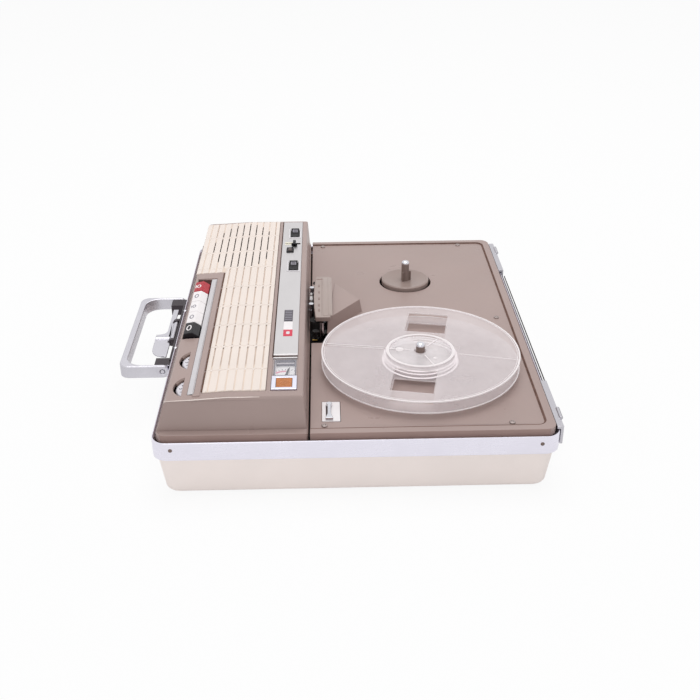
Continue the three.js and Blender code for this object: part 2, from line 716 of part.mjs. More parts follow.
// The grille's slats run along X: open slots over the speaker, shallow grooves everywhere else.
function makeGrille() {
  const panel = skinPanel(grilleOutline(0), grille.proud, grille.thickness - grille.proud);
  const tools = [];
  const top = upperTop + upper.rise;
  const rows = Math.floor((grille.right - grille.left) / grille.row);
  for (let row = 0; row < rows; row += 1) {
    const x0 = grille.left + grille.row * row + grille.rib / 2;
    const x1 = grille.left + grille.row * (row + 1) - grille.rib / 2;
    const front = x1 < grille.deepRight ? grille.slotFront : grille.front;
    for (let y = grille.rear - grille.margin; y - grille.slot > front + grille.rib / 2; y -= grille.pitch) {
      const middle = y - grille.slot / 2;
      const across = (middle - speaker.y) / speaker.soundNarrow;
      const half = Math.sqrt(Math.max(speaker.sound ** 2 - across ** 2, 0));
      const open0 = Math.max(x0, speaker.x - half);
      const open1 = Math.min(x1, speaker.x + half);
      const height = upperHeight(middle) + grille.proud;
      if (open1 - open0 > grille.slot * 2) {
        tools.push(box(open0, open1, y - grille.slot, y, height - grille.thickness - overrun, top));
      } else {
        tools.push(box(x0, x1, y - grille.slot, y, height - grille.groove, top));
      }
    }
  }
  piece("speaker_grille", cut(panel, ...tools), finishes.grilleCream);
}

function makeControlPlate() {
  const bottom = upperTop - strip.recess + gap;
  const sheet = box(strip.left, strip.right, strip.front, strip.rear, bottom, bottom + strip.thickness);
  const plate = cut(sheet, rockerHole(rockers.leftX, gap), rockerHole(rockers.rightX, gap), sliderHole(0),
    buttonHole(gap));
  piece("control_plate", plate, finishes.aluminium);
  const strips = skinPanel(
    rectangle(trim.left, trim.right, trim.front, trim.rear), trim.thickness - trim.recess + gap,
    trim.recess - gap);
  piece("key_trim_strip", strips, finishes.grey);
}

function makeMeter() {
  const bottom = upperTop - strip.recess + gap;
  const window = box(meter.left, meter.right, strip.front, strip.rear, bottom, bottom + meter.window);
  piece("meter_window", window, finishes.clear);
  const x0 = meter.left + meter.frame;
  const x1 = meter.right - meter.frame;
  const y0 = strip.front + meter.frame;
  const y1 = strip.rear - meter.frame;
  const top = bottom - gap * 2;
  const floor = top - meter.scaleDrop;
  const block = box(x0 + gap, x1 - gap, y0 + gap, y1 - gap, top - meter.depth, top);
  const well = box(x0 + meter.wall, x1 - meter.wall, y0 + meter.wall, y1 - meter.wall, floor, top + overrun);
  const pivotX = x1 - meter.pivotInset;
  const pivotY = (y0 + y1) / 2;
  const bearing = upright(needle.hub / 2, pivotX, pivotY, floor - needle.height, floor + needle.height);
  piece("meter_body", join(cut(block, well), bearing), finishes.white);
  const needleZ = floor + needle.height + gap;
  const hub = upright(needle.hub, 0, 0, 0, needle.thickness);
  const blade = outline([
    [needle.tail, -needle.width / 2], [needle.tail, needle.width / 2], [-needle.length, needle.width / 4],
    [-needle.length, -needle.width / 4],
  ]);
  const pointer = join(hub, extrudeUp(blade, 0, needle.thickness));
  pointer.rotateZ(radians(-needle.turn)).translate(pivotX, pivotY, needleZ);
  piece("meter_needle", pointer, finishes.black);
}

function makeLamp() {
  const bottom = upperTop - strip.recess + gap;
  const top = bottom + lamp.thickness;
  const x0 = lamp.left + lamp.side;
  const x1 = lamp.right - lamp.side;
  const y0 = strip.front + lamp.inner;
  const y1 = strip.rear - lamp.inner;
  const bezel = cut(
    box(lamp.left, lamp.right, strip.front, strip.rear, bottom, top),
    box(x0, x1, y0, y1, bottom - overrun, top + overrun));
  piece("lamp_bezel", bezel, finishes.aluminium);
  const lens = box(x0 + gap, x1 - gap, y0 + gap, y1 - gap, top - lamp.lensThickness, top - gap);
  piece("lamp_lens", lens, finishes.amber);
}

// A rocker's outline in X and Z about its axle, tipped to its rest position.
function rockerBody(x) {
  const half = rocker.length / 2 - rockers.clear;
  const top = rockers.pivotDrop + rocker.above;
  const shape = outline([
    [-half, -rocker.below / 4], [-half / 2, -rocker.below], [half / 2, -rocker.below],
    [half, -rocker.below / 4],
    [half, top], [0, top - rocker.dish], [-half, top],
  ]);
  const body = extrudeAlongY(shape, rockerY0 + gap, rockerY1 - gap);
  const axle = rodAlongY(rocker.axle, 0, rockerY0 - rocker.axleReach, rockerY1 + rocker.axleReach, 0);
  return join(body, axle).rotateY(radians(rocker.rest)).translate(x, 0, upperTop - rockers.pivotDrop);
}

function makeSwitches() {
  piece("rocker_power", rockerBody(rockers.leftX), finishes.black);
  piece("rocker_monitor", rockerBody(rockers.rightX), finishes.black);

  const knobBottom = upperTop + slider.lift;
  const knobTop = knobBottom + slider.height;
  const wallUnder = upperTop - upper.wall;
  const stem = box(
    slider.x - slider.stem / 2, slider.x + slider.stem / 2, slider.y - slider.barWidth / 2,
    slider.y + slider.barWidth / 2, wallUnder - slider.footThickness, knobTop);
  const shoe = box(
    slider.x - slider.foot / 2, slider.x + slider.foot / 2, slider.y - slider.foot / 2,
    slider.y + slider.foot / 2,
    wallUnder - gap - slider.footThickness, wallUnder - gap);
  const barRight = slider.x + slider.stem * 2;
  const bar = box(
    barRight - slider.bar, barRight, slider.y - slider.barWidth / 2, slider.y + slider.barWidth / 2,
    knobBottom, knobTop);
  const cross = box(
    barRight - slider.cross, barRight, slider.y - slider.crossWidth / 2, slider.y + slider.crossWidth / 2,
    knobBottom, knobTop);
  piece("slide_knob", join(stem, shoe, bar, cross), finishes.black);

  const cap = box(
    button.x - button.length / 2, button.x + button.length / 2, button.y - button.width / 2,
    button.y + button.width / 2,
    wallUnder - button.below, upperTop + button.above);
  const halfX = button.length / 2 + button.flange;
  const halfY = button.width / 2 + button.flange;
  const flange = box(
    button.x - halfX, button.x + halfX, button.y - halfY, button.y + halfY,
    wallUnder - gap - button.flangeThickness, wallUnder - gap);
  piece("push_button", join(cap, flange), finishes.black);
}

// The bracket under the control plate carries the rockers' axles and the switch bodies.
function makeBracket() {
  const axleZ = upperTop - rockers.pivotDrop;
  const bottom = upperTop - bracket.drop;
  const base = box(
    bracket.left, bracket.right, rockers.y - bracket.halfWidth, rockers.y + bracket.halfWidth,
    bottom, bottom + bracket.thickness);
  const parts = [];
  const bores = [];
  for (const x of [rockers.leftX, rockers.rightX]) {
    for (const side of [-1, 1]) {
      const inner = rockers.y + side * (rocker.width / 2 + gap);
      const outer = inner + side * ear.thickness;
      parts.push(box(
        x - ear.half, x + ear.half, Math.min(inner, outer), Math.max(inner, outer), bottom,
        upperTop - upper.wall - gap));
    }
    bores.push(rodAlongY(ear.bore, x, rockers.y - rocker.width * 2, rockers.y + rocker.width * 2, axleZ));
  }
  piece("controls_bracket", cut(join(base, ...parts), ...bores), finishes.steel);
}

// Keys: levers on one shaft, with their caps through the console's front slope.
function keyBody(number) {
  const x0 = keyX(number) + key.gap / 2;
  const x1 = keyX(number + 1) - key.gap / 2;
  const cap = extrudeAlongX(outline([
    [key.front, bandTop + key.bottomRise], [key.rear, bandTop + key.bottomRise],
    [key.rear, bandTop + key.rearRise],
    [key.crest, bandTop + key.crestRise], [key.front, bandTop + key.frontRise],
  ]), x0, x1);
  const shaftZ = bandTop + keyShaft.rise;
  const middle = (x0 + x1) / 2;
  const half = key.armWidth / 2;
  const arm = extrudeAlongX(outline([
    [key.armFrom, bandTop + key.bottomRise], [keyShaft.y, shaftZ - key.armThickness / 2],
    [keyShaft.y, shaftZ + key.armThickness / 2], [key.armFrom, bandTop + key.bottomRise + key.armThickness],
  ]), middle - half, middle + half);
  const eye = rodAlongX(keyShaft.eye, middle - half, middle + half, keyShaft.y, shaftZ);
  const bore = rodAlongX(keyShaft.radius + gap, x0 - overrun, x1 + overrun, keyShaft.y, shaftZ);
  return cut(join(cap, arm, eye), bore);
}

function makeKeys() {
  const looks = [
    ["key_record", finishes.red], ["key_rewind", finishes.white], ["key_forward", finishes.white],
    ["key_play", finishes.white], ["key_stop", finishes.black],
  ];
  looks.forEach(([name, finish], number) => piece(name, keyBody(number), finish));

  // The shaft turns in nothing: it is fixed in two plates that hang from the console's top.
  const shaftZ = bandTop + keyShaft.rise;
  const from = key.left - keyShaft.ends;
  const to = keysRight + keyShaft.ends;
  const plates = [from, to - keyShaft.bearing].map((x) => box(
    x, x + keyShaft.bearing, keyShaft.y - keyShaft.bearingHalf, keyShaft.y + keyShaft.bearingHalf,
    shaftZ - keyShaft.bearingHalf, upperHeight(keyShaft.y - keyShaft.bearingHalf) - upper.wall - gap));
  piece("key_shaft", join(rodAlongX(keyShaft.radius, from, to, keyShaft.y, shaftZ), ...plates), finishes.steel);

  // One comb of leaf springs, with a finger under each key's arm.
  const { rear, depth, drop, thickness, finger, tip, tipDrop, hangerWidth, hangerGap } = keySpring;
  const baseZ = shaftZ - drop;
  const base = box(from - hangerGap, to + hangerGap, rear - depth, rear, baseZ, baseZ + thickness);
  const hangers = [from - hangerGap, to + hangerGap - hangerWidth].map((x) => box(
    x, x + hangerWidth, rear - depth, rear, baseZ, upperTop - upper.wall - gap));
  const fingers = [];
  for (let number = 0; number < key.count; number += 1) {
    const middle = keyX(number) + key.pitch / 2;
    fingers.push(extrudeAlongX(outline([
      [rear - depth / 2, baseZ], [rear - depth / 2, baseZ + thickness], [rear - depth, baseZ + thickness],
      [tip, shaftZ - tipDrop], [tip, shaftZ - tipDrop - thickness], [rear - depth, baseZ],
    ]), middle - finger / 2, middle + finger / 2));
  }
  piece("key_spring_comb", join(base, ...hangers, ...fingers), finishes.steel);
}

// Numbered wheels lying flat under the console's skin, with their front edges in two cut-outs.
function makeWheels() {
  const bottom = wheelTop - wheel.thickness;
  const names = [["volume_wheel", wheels.volumeX], ["tone_wheel", wheels.toneX]];
  for (const [name, x] of names) {
    const rim = wheel.radius;
    const body = turned([
      [wheel.bore, bottom], [rim - wheel.chamfer, bottom], [rim, bottom + wheel.chamfer],
      [rim, wheelTop - wheel.chamfer], [rim - wheel.chamfer, wheelTop], [wheel.bore, wheelTop],
      [wheel.bore, bottom],
    ], x, wheel.y, medium);
    piece(name, body, finishes.white);
  }
}

// An oval loudspeaker: profiles are turned about the origin, narrowed in Y and moved into place.
function ovalBody(profile) {
  return turned(profile, 0, 0, medium).scale(1, speaker.narrow, 1).translate(speaker.x, speaker.y, 0);
}

function makeSpeaker() {
  const top = upperTop - speaker.drop;
  const { radius, rim, flange, depth, throat, magnet, magnetDepth, wall } = speaker;
  const bowl = ovalBody([
    [0, top - depth], [throat, top - depth], [radius - rim, top - flange], [radius, top - flange],
    [radius, top],
    [radius - rim, top], [throat - wall, top - depth + wall], [0, top - depth + wall],
  ]);
  const core = upright(magnet, speaker.x, speaker.y, top - depth - magnetDepth, top - depth + wall / 2, medium);
  piece("speaker_basket", join(bowl, core), finishes.steel);
  const coneTop = top - flange;
  const coneBottom = top - depth + wall + gap * 2;
  const cone = ovalBody([
    [0, coneBottom], [speaker.coneThroat, coneBottom], [speaker.cone, coneTop],
    [speaker.cone - speaker.coneWall, coneTop],
    [speaker.coneThroat, coneBottom + speaker.coneWall], [0, coneBottom + speaker.coneWall],
  ]);
  piece("speaker_cone", cone, finishes.paper);
}

// Tape path: head plate, heads, guides, capstan and pinch roller, and the cover over them.

function makeHeads() {
  const top = headPlateTop;
  const sheet = box(headPlate.left, headPlate.right, headPlate.front, headPlate.rear,
    top - headPlate.thickness, top);
  const postTop = bandTop + headCover.under - gap;
  const middle = (head.eraseX + head.playX) / 2;
  const posts = [-headPlate.postX, headPlate.postX].map((x) => upright(headPlate.post, middle + x, head.y,
    top - overrun / 2, postTop));
  const bores = [
    upright(capstan.radius + gap, capstan.x, capstan.y, top - headPlate.drop, top + overrun),
    upright(pinch.post + gap, pinch.pivotX, pinch.pivotY, top - headPlate.drop, top + overrun),
  ];
  const guideBottom = bandTop + guide.rise;
  const guideTop = guideBottom + guide.flangeThickness * 2 + guide.gapHeight;
  const guides = [guide.leftX, guide.rightX].map((x) => turned([
    [0, top - headPlate.thickness / 2], [guide.collar, top - headPlate.thickness / 2],
    [guide.collar, guideBottom],
    [guide.flange, guideBottom], [guide.flange, guideBottom + guide.flangeThickness],
    [guide.post, guideBottom + guide.flangeThickness], [guide.post, guideTop - guide.flangeThickness],
    [guide.flange, guideTop - guide.flangeThickness], [guide.flange, guideTop], [0, guideTop],
  ], x, guide.y, coarse));
  const { left, right, front, rear, foot: stand, footInset } = headPlate;
  const feet = [[left, front], [right, front], [left, rear], [right, rear]].map(([x, y]) => upright(
    stand, x + Math.sign(right + left - 2 * x) * footInset, y + Math.sign(front + rear - 2 * y) * footInset,
    chassisTop + gap, top - headPlate.thickness / 2));
  piece("head_plate", cut(join(sheet, ...posts, ...guides, ...feet), ...bores), finishes.black);

  // Erase head and record-play head, side by side on one carrier.
  const headBottom = bandTop + head.rise;
  const carrier = box(
    head.eraseX - head.width / 2, head.playX + head.width / 2, head.y + head.depth / 2 - head.post,
    head.y + head.depth / 2,
    top + gap, headBottom + overrun);
  const heads = [head.eraseX, head.playX].map((x) => join(
    box(x - head.width / 2, x + head.width / 2, head.y - head.depth / 2, head.y + head.depth / 2, headBottom,
      headBottom + head.height),
    upright(head.width / 2, x, head.y - head.depth / 2 + head.width / 3, headBottom,
    headBottom + head.height, medium)));
  piece("tape_heads", join(carrier, ...heads), finishes.chrome);
}

// The head cover's plan: straight ends and sides that bow outwards.
function headCoverOutline(inset) {
  const shape = new THREE.Shape();
  const { left, right, front, rear, bulge } = headCover;
  const middle = (left + right) / 2;
  shape.moveTo(left + inset, front + inset);
  shape.quadraticCurveTo(middle, front - bulge * 2 + inset, right - inset, front + inset);
  shape.lineTo(right - inset, rear - inset);
  shape.quadraticCurveTo(middle, rear + bulge * 2 - inset, left + inset, rear - inset);
  shape.lineTo(left + inset, front + inset);
  return shape;
}

function makeHeadCover() {
  const bottom = bandTop + headCover.under;
  const top = bottom + headCover.thickness;
  const outer = extrudeUp(headCoverOutline(0), bottom, top);
  const hollow = extrudeUp(headCoverOutline(headCover.wall), bottom - overrun, top - headCover.wall);
  const middle = (head.eraseX + head.playX) / 2;
  const sockets = [-headPlate.postX, headPlate.postX].map((x) => upright(
    headPlate.post * 1.5, middle + x, head.y, bottom + gap, top - headCover.wall / 2));
  piece("head_cover", join(cut(outer, hollow), ...sockets), finishes.taupeLight);
}

const flywheelTop = chassisUnder - flywheel.drop;
const flywheelMiddle = flywheelTop - flywheel.thickness / 2;

function makeCapstan() {
  const shaft = upright(
    capstan.radius, capstan.x, capstan.y, flywheelTop - flywheel.thickness - overrun, bandTop + capstan.rise);
  piece("capstan_shaft", shaft, finishes.chrome);
  const { radius, thickness, hub, web, rim } = flywheel;
  const bore = capstan.radius + gap;
  const low = flywheelTop - thickness;
  const disc = turned([
    [bore, low], [hub, low], [hub, flywheelMiddle - web / 2], [radius - rim, flywheelMiddle - web / 2],
    [radius - rim, low], [radius, low], [radius, flywheelTop], [radius - rim, flywheelTop],
    [radius - rim, flywheelMiddle + web / 2], [hub, flywheelMiddle + web / 2], [hub, flywheelTop],
    [bore, flywheelTop],
    [bore, low],
  ], capstan.x, capstan.y, medium);
  piece("flywheel", disc, finishes.steel);
}

function makePinch() {
  const bottom = bandTop + pinch.rise;
  const roller = cut(
    upright(pinch.roller, pinch.rollerX, pinch.rollerY, bottom, bottom + pinch.height, medium),
    upright(pinch.bore, pinch.rollerX, pinch.rollerY, bottom - overrun, bottom + pinch.height + overrun));
  piece("pinch_roller", roller, finishes.rubber);

  const armBottom = headPlateTop + gap * 2;
  const armTop = armBottom + pinch.armThickness;
  const alongX = pinch.rollerX - pinch.pivotX;
  const alongY = pinch.rollerY - pinch.pivotY;
  const length = Math.hypot(alongX, alongY);
  const sideX = (-alongY / length) * pinch.arm;
  const sideY = (alongX / length) * pinch.arm;
  const bar = extrudeUp(outline([
    [pinch.pivotX - sideX, pinch.pivotY - sideY], [pinch.rollerX - sideX, pinch.rollerY - sideY],
    [pinch.rollerX + sideX, pinch.rollerY + sideY], [pinch.pivotX + sideX, pinch.pivotY + sideY],
  ]), armBottom, armTop);
  const arm = join(
    bar,
    upright(pinch.arm, pinch.pivotX, pinch.pivotY, armBottom, armTop),
    upright(pinch.arm, pinch.rollerX, pinch.rollerY, armBottom, armTop),
    upright(pinch.pin * 2, pinch.rollerX, pinch.rollerY, armBottom, bottom - gap),
    upright(pinch.pin, pinch.rollerX, pinch.rollerY, armBottom, bottom + pinch.height + gap),
    upright(pinch.post, pinch.pivotX, pinch.pivotY, chassisTop + gap, armTop));
  piece("pinch_arm", arm, finishes.steel);
}

// Reel drive: turntables, spindles and the take-up reel.

// A turntable with its spindle pressed in: a skirted disc, a shaft down to the chassis and three driving fins.
function turntableBody(x) {
  const { radius, top, skirt, hub, dip, edge, dish } = turntable;
  const { radius: pin, rise, fin, finHeight, finWidth, tip } = spindle;
  const low = deckTop - dip;
  const hubLow = chassisTop + chassis.bearingHeight + gap;
  const spindleTop = discTop + rise;
  const body = turned([
    [0, chassisUnder - overrun], [pin, chassisUnder - overrun], [pin, hubLow], [hub, hubLow],
    [hub, discTop - top],
    [radius - skirt, discTop - top], [radius - skirt, low], [radius, low], [radius, discTop - edge],
    [radius - edge, discTop], [hub, discTop - dish], [pin, discTop - dish], [pin, spindleTop - tip],
    [pin / 2, spindleTop],
    [0, spindleTop],
  ], x, spindle.y, medium);
  const fins = [0, 120, 240].map((angle) => {
    const blade = box(0, fin, -finWidth / 2, finWidth / 2, discTop - top / 2, discTop + finHeight);
    return blade.rotateZ(radians(angle)).translate(x, spindle.y, 0);
  });
  return join(body, ...fins);
}

// The reel is two mouldings: the upper flange with the hub's ring, and the lower flange with the collar.
function makeReel() {
  const { radius, flange, hub, hubWall, collar, slit, slitTurn, keyway, rimBead } = reel;
  const { window, windowFrom, windowTo, windowTurn } = reel;
  const x = takeupX;
  const lowerTop = reelBottom + flange;
  const upperBottom = reelTop - flange;
  const place = (body, turn) => body.rotateZ(radians(turn)).translate(x, spindle.y, 0);
  const windows = [[windowFrom, windowTo], [-windowTo, -windowFrom]].map(([x0, x1]) => place(
    box(x0, x1, -window / 2, window / 2, reelBottom - overrun, reelTop + overrun), windowTurn));
  const slot = box(hub, radius + overrun, -slit / 2, slit / 2, upperBottom - overrun, reelTop + overrun);
  const mouth = extrudeUp(
    outline([[radius - reel.notch, -slit / 2], [radius + overrun, -reel.notch / 2], [radius + overrun,
    reel.notch / 2],
      [radius - reel.notch, slit / 2]]), upperBottom - overrun, reelTop + overrun);
  const upperDisc = turned([
    [hub - hubWall, lowerTop + gap], [hub, lowerTop + gap], [hub, upperBottom], [radius - rimBead, upperBottom],
    [radius, upperBottom + rimBead], [radius, reelTop - rimBead], [radius - rimBead, reelTop],
    [hub - hubWall, reelTop],
    [hub - hubWall, lowerTop + gap],
  ], x, spindle.y, fine);
  piece("reel_upper_half", cut(upperDisc, ...windows, place(slot, slitTurn), place(mouth, slitTurn)),
    finishes.clear);

  const bore = spindle.radius + gap;
  const lowerDisc = turned([
    [bore, reelBottom], [radius - rimBead, reelBottom], [radius, reelBottom + rimBead],
    [radius, lowerTop - rimBead],
    [radius - rimBead, lowerTop], [collar, lowerTop], [collar, reelTop - flange], [bore, reelTop - flange],
    [bore, reelBottom],
  ], x, spindle.y, fine);
  const keyways = [0, 120, 240].map((turn) => place(
    box(0, spindle.fin + gap, -keyway / 2, keyway / 2, reelBottom - overrun, reelTop + overrun), turn));
  piece("reel_lower_half", cut(lowerDisc, ...windows, ...keyways), finishes.clear);
}

function makeTurntables() {
  piece("supply_turntable", turntableBody(supplyX), finishes.taupe);
  piece("takeup_turntable", turntableBody(takeupX), finishes.taupe);
}

// Speed selector: an inlaid plate and a pointer lever that swings over it.
function makeSpeedSelector() {
  const bottom = deckTop - speedPlate.recess + gap;
  const top = bottom + speedPlate.thickness;
  const { pivotX, y, tipX, neck, tip, lift } = speedLever;
  const sheet = cut(
    box(speedPlate.left, speedPlate.right, speedPlate.front, speedPlate.rear, bottom, top),
    upright(speedLever.pin + gap, pivotX, y, bottom - overrun, top + overrun));
  piece("speed_plate", sheet, finishes.white);
  const low = top + lift;
  const blade = outline([
    [pivotX, y - neck], [tipX - tip * 2, y - neck], [tipX, y - tip], [tipX, y + tip],
    [tipX - tip * 2, y + neck],
    [pivotX, y + neck],
  ]);
  const lever = join(
    extrudeUp(blade, low, low + speedLever.thickness),
    upright(speedLever.boss, pivotX, y, low, low + speedLever.thickness),
    upright(speedLever.pin, pivotX, y, top - speedLever.pinDrop, low + speedLever.thickness));
  piece("speed_lever", lever, finishes.chrome);
}

// Inside: chassis plate, motor, belt drive, circuit board and transformer.

function makeChassis() {
  const halfX = coverHalfX - cover.skirt - chassis.clear;
  const rear = coverHalfY - cover.skirt - chassis.clear;
  const sheet = box(-halfX, halfX, deckFront - chassis.lap, rear, chassisUnder, chassisTop);
  const posts = deckScrewSpots.map(([x, y]) => upright(
    chassis.post, x, y, chassisTop - chassis.thickness / 2, deckUnder - gap));
  const bearings = spindleXs.map((x) => upright(
    chassis.bearing, x, spindle.y, chassisTop - chassis.thickness / 2, chassisTop + chassis.bearingHeight));
  const capstanBearing = upright(
    chassis.bearing / 2, capstan.x, capstan.y, chassisTop - chassis.thickness / 2,
    chassisTop + chassis.bearingHeight / 2);
  const bores = deckScrewSpots.map(([x, y]) => upright(
    deckScrew.shank + gap, x, y, chassisUnder - overrun, deckUnder + overrun));
  for (const x of spindleXs) {
    bores.push(upright(spindle.radius + gap, x, spindle.y, chassisUnder - overrun, deckTop));
  }
  bores.push(upright(capstan.radius + gap, capstan.x, capstan.y, chassisUnder - overrun, deckTop));
  piece("chassis_plate", cut(join(sheet, ...posts, ...bearings, capstanBearing), ...bores), finishes.steel);
}

const motorTop = flywheelMiddle - pulley.groove / 2 - pulley.flangeThickness - motor.raise;

function makeMotor() {
  const { x, y, radius, height, flangeThickness, post, shaft } = motor;
  const towardsCapstan = Math.atan2(capstan.y - y, capstan.x - x);
  const can = upright(radius, x, y, motorTop - height, motorTop, medium);
  const rim = upright(motor.flange, x, y, motorTop - flangeThickness, motorTop, medium);
  const spindlePin = upright(shaft, x, y, motorTop - overrun, flywheelMiddle + pulley.groove);
  const posts = [60, 180, 300].map((turn) => {
    const angle = towardsCapstan + radians(turn);
    const reach = motor.flange - post;
    return upright(post, x + reach * Math.cos(angle), y + reach * Math.sin(angle),
      motorTop - flangeThickness / 2,
      chassisUnder - gap);
  });
  piece("motor", join(can, rim, spindlePin, ...posts), finishes.steel);

  const low = flywheelMiddle - pulley.groove / 2;
  const high = flywheelMiddle + pulley.groove / 2;
  const bore = shaft + gap;
  const wheelBody = turned([
    [bore, low - pulley.flangeThickness], [pulley.flange, low - pulley.flangeThickness], [pulley.flange, low],
    [pulley.radius, low], [pulley.radius, high], [pulley.flange, high],
    [pulley.flange, high + pulley.flangeThickness],
    [bore, high + pulley.flangeThickness], [bore, low - pulley.flangeThickness],
  ], x, y, medium);
  piece("motor_pulley", wheelBody, finishes.steel);
}

// The outline of a band stretched round two wheels, at an offset outside both.
function beltOutline(offset) {
  const spread = Math.hypot(motor.x - capstan.x, motor.y - capstan.y);
  const direction = Math.atan2(motor.y - capstan.y, motor.x - capstan.x);
  const big = flywheel.radius + offset;
  const small = pulley.radius + offset;
  const lean = Math.acos((big - small) / spread);
  const shape = new THREE.Shape();
  shape.absarc(capstan.x, capstan.y, big, direction + lean, direction - lean + Math.PI * 2);
  shape.absarc(motor.x, motor.y, small, direction - lean, direction + lean);
  return shape;
}

function makeBelt() {
  const half = belt.width / 2;
  const outer = extrudeUp(beltOutline(gap + belt.thickness), flywheelMiddle - half, flywheelMiddle + half,
    coarse);
  const inner = extrudeUp(
    beltOutline(gap), flywheelMiddle - half - overrun, flywheelMiddle + half + overrun, coarse);
  piece("drive_belt", cut(outer, inner), finishes.rubber);
}

function makeElectronics() {
  const { rise, thickness, standoff, can, canHeight, coilSize, coilHeight } = board;
  const right = insideHalfX - board.fromWall;
  const left = right - board.width;
  const front = board.fromWall - insideHalfY;
  const rear = front + board.depth;
  const bottom = foot.height + shell.wall + rise;
  const top = bottom + thickness;
  const sheet = box(left, right, front, rear, bottom, top);
  const spots = [[left, front], [right, front], [left, rear], [right, rear]];
  const middleX = (left + right) / 2;
  const middleY = (front + rear) / 2;
  const legs = spots.map(([x, y]) => upright(
    standoff, x + Math.sign(middleX - x) * standoff * 2, y + Math.sign(middleY - y) * standoff * 2,
    shellFloor + gap, bottom + thickness / 2));
  const canSpots = [-3, -1, 1, 3].map((share) => middleX + share * can * 2);
  const cans = canSpots.map((x) => upright(can, x, rear - can * 2, top - thickness / 2, top + canHeight));
  const coils = [-1, 0, 1].map((share) => {
    const x = middleX + share * coilSize * 3;
    return box(x - coilSize / 2, x + coilSize / 2, front + coilSize, front + coilSize * 2, top - thickness / 2,
      top + coilHeight);
  });
  // The two rotary controls stand on the board and reach up to their wheels.
  const wheelBottom = wheelTop - wheel.thickness;
  const controls = [wheels.volumeX, wheels.toneX].map((x) => turned([
    [0, top - thickness / 2], [control.radius, top - thickness / 2], [control.radius, top + control.depth],
    [control.collar, top + control.depth], [control.collar, wheelBottom - gap],
    [wheel.shaft, wheelBottom - gap],
    [wheel.shaft, wheelTop - wheel.chamfer], [0, wheelTop - wheel.chamfer],
  ], x, wheel.y, coarse));
  piece("circuit_board", join(sheet, ...legs, ...cans, ...coils, ...controls), finishes.board);

  const { width, depth, height, coilWidth, coilDepth, coilHeight: woundHeight } = transformer;
  const x = transformer.fromSide + width / 2 - insideHalfX;
  const y = insideHalfY - transformer.fromRear - coilDepth / 2;
  const base = shellFloor + gap;
  const lift = (height - woundHeight) / 2;
  const core = box(x - width / 2, x + width / 2, y - depth / 2, y + depth / 2, base, base + height);
  const coil = box(
    x - coilWidth / 2, x + coilWidth / 2, y - coilDepth / 2, y + coilDepth / 2, base + lift,
    base + lift + woundHeight);
  piece("mains_transformer", join(core, coil), finishes.steel);
}

// Front: the handle, its plate with the studs that it swings on, and the lid latch between its arms.

const handleZ = bandTop - handle.drop - handle.height / 2;
const handlePivotY = caseFront - handle.pivotReach;
const latchY = caseFront - latch.pivotReach;
const latchZ = bandTop - latch.drop;
const armInner = handle.halfWidth - handle.arm;
const lugOuter = armInner - gap;

function handlePlan() {
  const { halfWidth, reach, grip, outerRound, innerRound } = handle;
  const tip = caseFront - reach;
  const back = caseFront - gap;
  const inside = tip + grip;
  const shape = new THREE.Shape();
  shape.moveTo(-halfWidth, back);
  shape.lineTo(-halfWidth, tip + outerRound);
  shape.absarc(-halfWidth + outerRound, tip + outerRound, outerRound, Math.PI, Math.PI * 1.5);
  shape.lineTo(halfWidth - outerRound, tip);
  shape.absarc(halfWidth - outerRound, tip + outerRound, outerRound, Math.PI * 1.5, Math.PI * 2);
  shape.lineTo(halfWidth, back);
  shape.lineTo(armInner, back);
  shape.lineTo(armInner, inside + innerRound);
  shape.absarc(armInner - innerRound, inside + innerRound, innerRound, 0, -Math.PI / 2, true);
  shape.lineTo(-armInner + innerRound, inside);
  shape.absarc(-armInner + innerRound, inside + innerRound, innerRound, -Math.PI / 2, -Math.PI, true);
  shape.lineTo(-armInner, back);
  shape.lineTo(-halfWidth, back);
  return shape;
}

function makeHandle() {
  const half = handle.height / 2;
  const plan = extrudeUp(handlePlan(), handleZ - half, handleZ + half);
  const side = new THREE.Shape();
  const tip = caseFront - handle.reach;
  side.moveTo(handlePivotY, handleZ + half);
  side.lineTo(tip - overrun, handleZ + half);
  side.lineTo(tip - overrun, handleZ - half);
  side.lineTo(handlePivotY, handleZ - half);
  side.absarc(handlePivotY, handleZ, half, -Math.PI / 2, Math.PI / 2);
  const rounded = common(plan, extrudeAlongX(side, -handle.halfWidth - overrun, handle.halfWidth + overrun,
    coarse / 2));
  const bores = [-1, 1].map((sign) => {
    const from = sign * (armInner - overrun);
    const to = sign * (handle.halfWidth + overrun);
    return rodAlongX(handle.pin + gap, Math.min(from, to), Math.max(from, to), handlePivotY, handleZ);
  });
  piece("carrying_handle", cut(rounded, ...bores), finishes.aluminium);

  const plateBack = caseFront - gap;
  const plateFace = plateBack - plate.thickness;
  const top = bandTop - plate.drop;
  const parts = [box(-plate.halfWidth, plate.halfWidth, plateFace, plateBack, top - plate.height, top)];
  const lugTop = bandTop - plate.lugDrop;
  for (const sign of [-1, 1]) {
    const near = sign * plate.lugIn;
    const far = sign * lugOuter;
    parts.push(box(
      Math.min(near, far), Math.max(near, far), plateBack - plate.lugReach, plateBack,
      lugTop - plate.lugHeight, lugTop));
    const earNear = sign * (latch.barrelHalf + gap);
    const earFar = earNear + sign * latch.earThickness;
    const earLeft = Math.min(earNear, earFar);
    const earRight = Math.max(earNear, earFar);
    parts.push(box(earLeft, earRight, latchY, plateBack, latchZ - latch.earHalf, latchZ + latch.earHalf));
    parts.push(rodAlongX(latch.earHalf, earLeft, earRight, latchY, latchZ, medium));
    const end = sign * handle.halfWidth;
    parts.push(rodAlongX(handle.pin, Math.min(near, end), Math.max(near, end), handlePivotY, handleZ));
  }
  const earEnd = latch.barrelHalf + latch.earThickness;
  parts.push(rodAlongX(latch.pin, -earEnd, earEnd, latchY, latchZ));
  piece("handle_plate", join(...parts), finishes.black);
}

